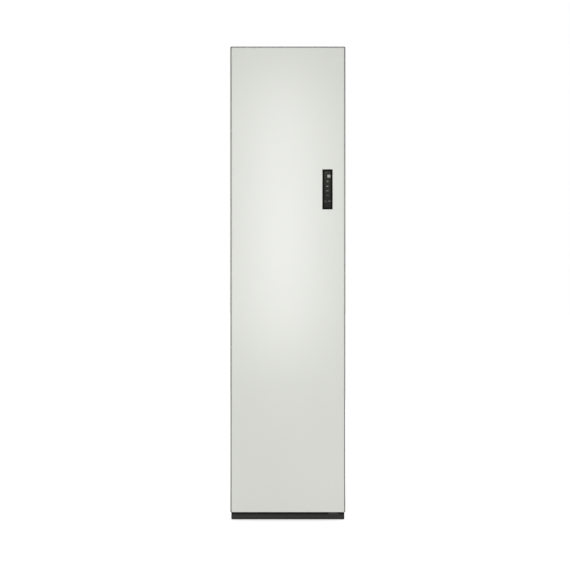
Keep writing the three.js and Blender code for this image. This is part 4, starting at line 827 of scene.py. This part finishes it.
# Control window: a black glossy acrylic pane set flush in the panel. A smoke-grey printed field in
# it leaves a black border; a small display, touch marks and two key signs are lit in the field.
# The pane has a coat against reflections, so its IOR is a little below that of bare acrylic.
black_glass, tree, shader = new_finish("black_gloss_acrylic", "#050505", 0.0, 0.04, 1.3)
place = mottle(tree, shader, "#040404", "#070706", 60, (0.03, 0.05))
grain(tree, shader, place, 20.0, 0.01, 0.05)
window_middle = (window_low + window_high) / 2
window_radius, border = 0.2 * MM, 7.6 * MM
bm = bmesh.new()
plate(bm, window_middle, window_high - window_low, 1.5)
soften_front(bm, window_low.y, window_radius, 2)
window = finish_piece("control_glass", bm, black_glass, "door")
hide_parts("control_window")

# Smoke print: a dark warm grey, with the pane's gloss over it. On top of the print, painted shade
# makes it lighter at the top and darker towards the bottom, in place of the light on the pane.
smoke_print_and_shade, tree, shader = new_finish("smoke_grey_print_and_painted_shade", "#1B1C18", 0.0, 0.05, 1.38)
place = add(tree, "TexCoord").outputs["Object"]
level = add(tree, "SeparateXYZ", Vector=place)
specks = add(tree, "TexNoise", Vector=place, Scale=scale_for(3), Detail=2.0)
# Painted shade: the field's colour darkens from its top to its foot, standing in for the light on
# the pane.
painted_shade_height = add(tree, "MapRange", Value=level.outputs["Z"], From_Min=window_low.z,
           From_Max=window_high.z)
painted_shade_with_specks = add(tree, "Math", {"operation": "MULTIPLY_ADD"}, i0=specks.outputs["Fac"], i1=0.12,
            i2=painted_shade_height.outputs[0])
print_with_painted_shade = between(tree, painted_shade_with_specks.outputs[0], "#161613", "#2A2B26")
tree.links.new(print_with_painted_shade, shader.inputs["Base Color"])
gloss = add(tree, "MapRange", Value=specks.outputs["Fac"], To_Min=0.04, To_Max=0.06)
tree.links.new(gloss.outputs[0], shader.inputs["Roughness"])
grain(tree, shader, place, 20.0, 0.01, 0.05)

# The prints lie on the pane's face, each one layer further out than what is under it.
layer = 0.04 * MM


def on_field(x, z, lift=1):
    """A point on the printed field, its x and z in mm from the window's middle."""
    return Vector((window_middle.x + x * MM, window_low.y - lift * layer, window_middle.z + z * MM))


bm = bmesh.new()
field_size = window_high - window_low - Vector((2 * border, 0, 2 * border))
plate(bm, on_field(0, 0, 0), Vector((field_size.x, 2 * layer, field_size.z)), 2.5)
finish_piece("printed_field", bm, smoke_print_and_shade, "door")


def lit_mark(name, colour, strength):
    """Dark translucent print lit from behind, a little uneven over the lamp cells of 2.5 mm."""
    finish, tree, shader = new_finish(name, "#2C2E2D", 0.0, 0.4, 1.38)
    place = mottle(tree, shader, "#282A29", "#303231", 3, (0.35, 0.45))
    cells = add(tree, "TexNoise", Vector=place, Scale=scale_for(2.5), Detail=1.0)
    level = add(tree, "MapRange", Value=cells.outputs["Fac"], To_Min=0.8 * strength,
                To_Max=1.2 * strength)
    shader.inputs["Emission Color"].default_value = linear(colour)
    tree.links.new(level.outputs[0], shader.inputs["Emission Strength"])
    grain(tree, shader, place, 1.0, 0.01, 0.2)
    return finish


def add_bar(bm, x, z, w, h, lift=1):
    """A thin mark on the field with round corners, sizes in mm."""
    plate(bm, on_field(x, z, lift), Vector((w * MM, 2 * layer, h * MM)), 0.3 * min(w, h))


def add_ring(bm, x, z, outer, inner, share=1.0, start=0.0):
    """A flat ring on the field, or the share of one that starts at an angle, sizes in mm."""
    middle = on_field(x, z)
    corners = []
    for radius, side in ((inner, -1), (outer, -1), (outer, 1), (inner, 1)):
        out = radius * MM
        corners.append(bm.verts.new(middle + Vector((out * math.cos(start), side * layer,
                                                     out * math.sin(start)))))
    section = bm.faces.new(corners)
    swept = corners + section.edges[:]
    if share < 1.0:
        swept.append(section)
    else:
        bm.faces.remove(section)
    bmesh.ops.spin(bm, geom=swept, cent=middle, axis=(0, -1, 0), angle=share * 2 * math.pi,
                   steps=32, use_merge=share == 1.0)


display_x, display_z, display_width, display_height, display_corner = 5.4, 51, 10.8, 10.4, 1.2
bm = bmesh.new()
plate(bm, on_field(display_x, display_z),
      Vector((display_width * MM, 2 * layer, display_height * MM)), display_corner)
backlight = lit_mark("display_backlight", "#C4C6C2", 0.68)
finish_piece("display_field", bm, backlight, "door")

# Seven-segment digits: bar 0 is at the top, 1 and 2 on the right, 3 at the foot, 4 at the lower
# left and 6 in the middle. Each digit has its shift from the display's middle and its bars.
stroke, upright, level_bar, half_digit = 0.75, 2.9, 2.3, 1.4
upright_z, level_z = {1: 1.8, 2: -1.8, 4: -1.8}, {0: 3.6, 3: -3.6, 6: 0}
bm = bmesh.new()
for shift, bars in ((-2.6, (1, 2)), (2.2, (0, 1, 3, 4, 6))):
    for bar in bars:
        side = half_digit if bar in (1, 2) else -half_digit
        if bar in upright_z:
            add_bar(bm, display_x + shift + side, display_z + upright_z[bar], stroke, upright, 2)
        else:
            add_bar(bm, display_x + shift, display_z + level_z[bar], level_bar, stroke, 2)
finish_piece("display_digits", bm, black_glass, "door")

# Touch marks: dim printed bars, by place, width and height, and rings and dots, by place and radii,
# in mm.
touch_bars = ((-5.6, 64.6, 4.4, 0.5), (0.2, 32.6, 5.2, 1.2), (0.2, 29.4, 6.8, 1.3),
              (-0.5, 13.0, 8.6, 1.3), (-0.5, 10.4, 7.0, 1.2), (-4.2, -5.2, 0.6, 1.5),
              (1.6, -4.6, 6.6, 1.0), (1.0, -7.0, 5.2, 0.9))
touch_rings = [(0.2, 31.0, 0.7, 0.1), (-4.2, -5.6, 2.0, 1.3)]
touch_rings += [(x, -23.4, 0.85, 0.15) for x in (-2.7, 0.3, 3.3)]
bm = bmesh.new()
for bar in touch_bars:
    add_bar(bm, *bar)
for ring in touch_rings:
    add_ring(bm, *ring)
bmesh.ops.recalc_face_normals(bm, faces=bm.faces)
touch_print = lit_mark("touch_mark_print", "#A9ABA6", 0.62)
finish_piece("touch_marks", bm, touch_print, "door")

# Below them, the keys' signs: power, and start and pause.
power_x, start_x, pause_places, key_z, start_radius = -7.3, 5.6, (9.2, 11.0), -45.6, 2.9
bm = bmesh.new()
add_ring(bm, power_x, key_z - 0.6, 3.5, 2.8, share=0.8, start=2.2)
add_bar(bm, power_x, key_z + 1.7, 0.7, 3.2)
facing_right = Matrix.Rotation(math.pi / 2, 4, "X") @ Matrix.Rotation(-math.pi / 2, 4, "Z")
bmesh.ops.create_cone(bm, cap_ends=True, segments=3, radius1=start_radius * MM,
                      radius2=start_radius * MM, depth=2 * layer,
                      matrix=Matrix.Translation(on_field(start_x, key_z)) @ facing_right)
for x in pause_places:
    add_bar(bm, x, key_z, 0.8, 5.0)
bmesh.ops.recalc_face_normals(bm, faces=bm.faces)
key_print = lit_mark("key_sign_print", "#8F918C", 0.5)
finish_piece("key_signs", bm, key_print, "door")

# Inside of the door: a light grey moulded liner. Its raised field stands inside the seal and has
# three shallow panels, one above the other, that stiffen it.
liner_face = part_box("door_liner")[1].y
liner_half, liner_slope, liner_sink = 145 * MM, 9 * MM, 1.8 * MM
liner_panels = ((0.13, 0.62), (0.66, 1.2), (1.24, 1.745))


def press_liner(bm):
    for bottom, top in liner_panels:
        recess(bm, Vector((-liner_half, liner_face - reach, bottom)),
               Vector((liner_half, liner_face + reach, top)), (0, 1, 0), liner_slope, liner_sink)


with_round_edges("door_liner", chamber_abs, 2.0, 4, press=press_liner)

# Door seal: a soft grey rubber bellows with a magnetic strip in its flat front, plugged into the
# liner. It runs round the opening in one length, with welded corners.
# Seal rubber: dull, with a bloom that lightens it in patches of 25 mm.
seal_rubber, tree, shader = new_finish("grey_seal_rubber", "#8B8D8E", 0.0, 0.68)
place = mottle(tree, shader, "#828485", "#949697", 25, (0.62, 0.76))
grain(tree, shader, place, 2.0, 0.05, 0.4)
seal_low, seal_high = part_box("door_gasket")
# The seal's section in mm, inwards from its outer edge and backwards from the liner's side of it.
seal_profile = ((1, 0), (0.2, 1.1), (1.7, 2.5), (0.2, 3.9), (1.7, 5.2), (0.3, 6.4), (0, 8.4),
                (0.9, 9.3), (13.1, 9.3), (14, 8.4), (13.7, 6.4), (12.3, 5.2), (13.8, 3.9),
                (12.3, 2.5), (13.8, 1.1), (13, 0))
seal_corner, inner_corner, corner_steps = 16 * MM, 2 * MM, 8


def seal_loop(bm, inset, y):
    """A rounded rectangle of points, inset from the seal's outer edge."""
    radius = max(seal_corner - inset, inner_corner)
    points = []
    for quarter, (sx, sz) in enumerate(((1, 1), (-1, 1), (-1, -1), (1, -1))):
        x = (seal_high.x if sx > 0 else seal_low.x) - sx * (inset + radius)
        z = (seal_high.z if sz > 0 else seal_low.z) - sz * (inset + radius)
        for step in range(corner_steps + 1):
            angle = math.pi / 2 * (quarter + step / corner_steps)
            points.append(bm.verts.new((x + radius * math.cos(angle), y,
                                        z + radius * math.sin(angle))))
    return points


bm = bmesh.new()
loops = [seal_loop(bm, u * MM, seal_low.y + v * MM) for u, v in seal_profile]
skin(bm, loops + loops[:1], capped=False)
seal = finish_piece("door_seal", bm, seal_rubber, "door")
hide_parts("door_gasket")

# Circuit boards: glass-fibre boards behind the control window and above the ceiling, the upper one
# in a galvanised case.
# Solder mask: green, with paler copper tracks about 6 mm apart under it. The tracks' two colours
# take the place of the mottle's, which leaves its gloss.
board_mask, tree, shader = new_finish("green_solder_mask", "#245C3E", 0.0, 0.35)
place = mottle(tree, shader, "#1D5136", "#2B6645", 8, (0.3, 0.42))
tracks = add(tree, "TexVoronoi", {"distance": "CHEBYCHEV"}, Vector=place, Scale=scale_for(6))
lines = between(tree, tracks.outputs["Distance"], "#1D5136", "#3F7A52", high=0.42,
                interpolation="CONSTANT")
tree.links.new(lines, shader.inputs["Base Color"])
grain(tree, shader, place, 4.0, 0.05, 0.4)
on_node("control_board", board_mask)
on_node("main_board", board_mask)
with_round_edges("board_case", galvanised, 0.4)

# Heat pump: finned aluminium exchangers in a dark moulded case, joined by copper pipe to a black
# enamelled compressor.
# Bare aluminium: bright, with fins across it, each fin and each gap drawn 1.8 mm wide.
bare_aluminium, tree, shader = new_finish("bare_aluminium", "#C6CACC", 0.95, 0.36)
place = mottle(tree, shader, "#BDC1C3", "#CFD3D5", 40, (0.3, 0.46), (1, 1, 0.2))
emboss(tree, shader, stripes(tree, place, "X", 1.8), 0.7, 0.4)

# Drawn copper: warm metal, darker where handling has tarnished it.
copper_pipe, tree, shader = new_finish("drawn_copper", "#B87347", 1.0, 0.28)
place = mottle(tree, shader, "#A7623A", "#C58153", 25, (0.22, 0.4))
grain(tree, shader, place, 2.0, 0.02, 0.3)
for node in ("evaporator", "condenser"):
    on_node(node, bare_aluminium)
on_node("refrigerant_pipe", copper_pipe)
with_round_edges("compressor", black_paint, 2.0, 3)
with_round_edges("heat_pump_case", dark_abs, 0.8)

# Fans: dark moulded wheels with upright blades, pressed on the shafts of black enamelled motors.
# The lower one draws air through the heat pump's case, and the upper one through the plenum.
for node in ("lower_fan_wheel", "upper_fan_wheel"):
    with_round_edges(node, dark_abs, 0.5)
for node in ("lower_fan_motor", "upper_fan_motor"):
    with_round_edges(node, black_paint, 1.0, 3)

# Steam generator: a cast aluminium tank with a dark pipe to the chamber; two small pumps fill and
# drain it. Cast aluminium is duller than sheet, with a sand-like skin of 1.6 mm.
cast_aluminium, tree, shader = new_finish("cast_aluminium", "#AEB1B3", 0.9, 0.5)
place = mottle(tree, shader, "#A4A7A9", "#B8BBBD", 30, (0.44, 0.6))
grain(tree, shader, place, 1.6, 0.08, 0.6)
with_round_edges("steam_generator", cast_aluminium, 1.6, 3)
for node in ("steam_pipe", "feed_pump", "drain_pump"):
    with_round_edges(node, dark_abs, 0.8)

# Air ducts: mid-grey mouldings. The rear one rises behind the chamber's back wall, from the heat
# pump's case to the plenum above the hangers' sockets.
for node in ("rear_air_duct", "upper_plenum"):
    with_round_edges(node, frame_abs, 1.0)
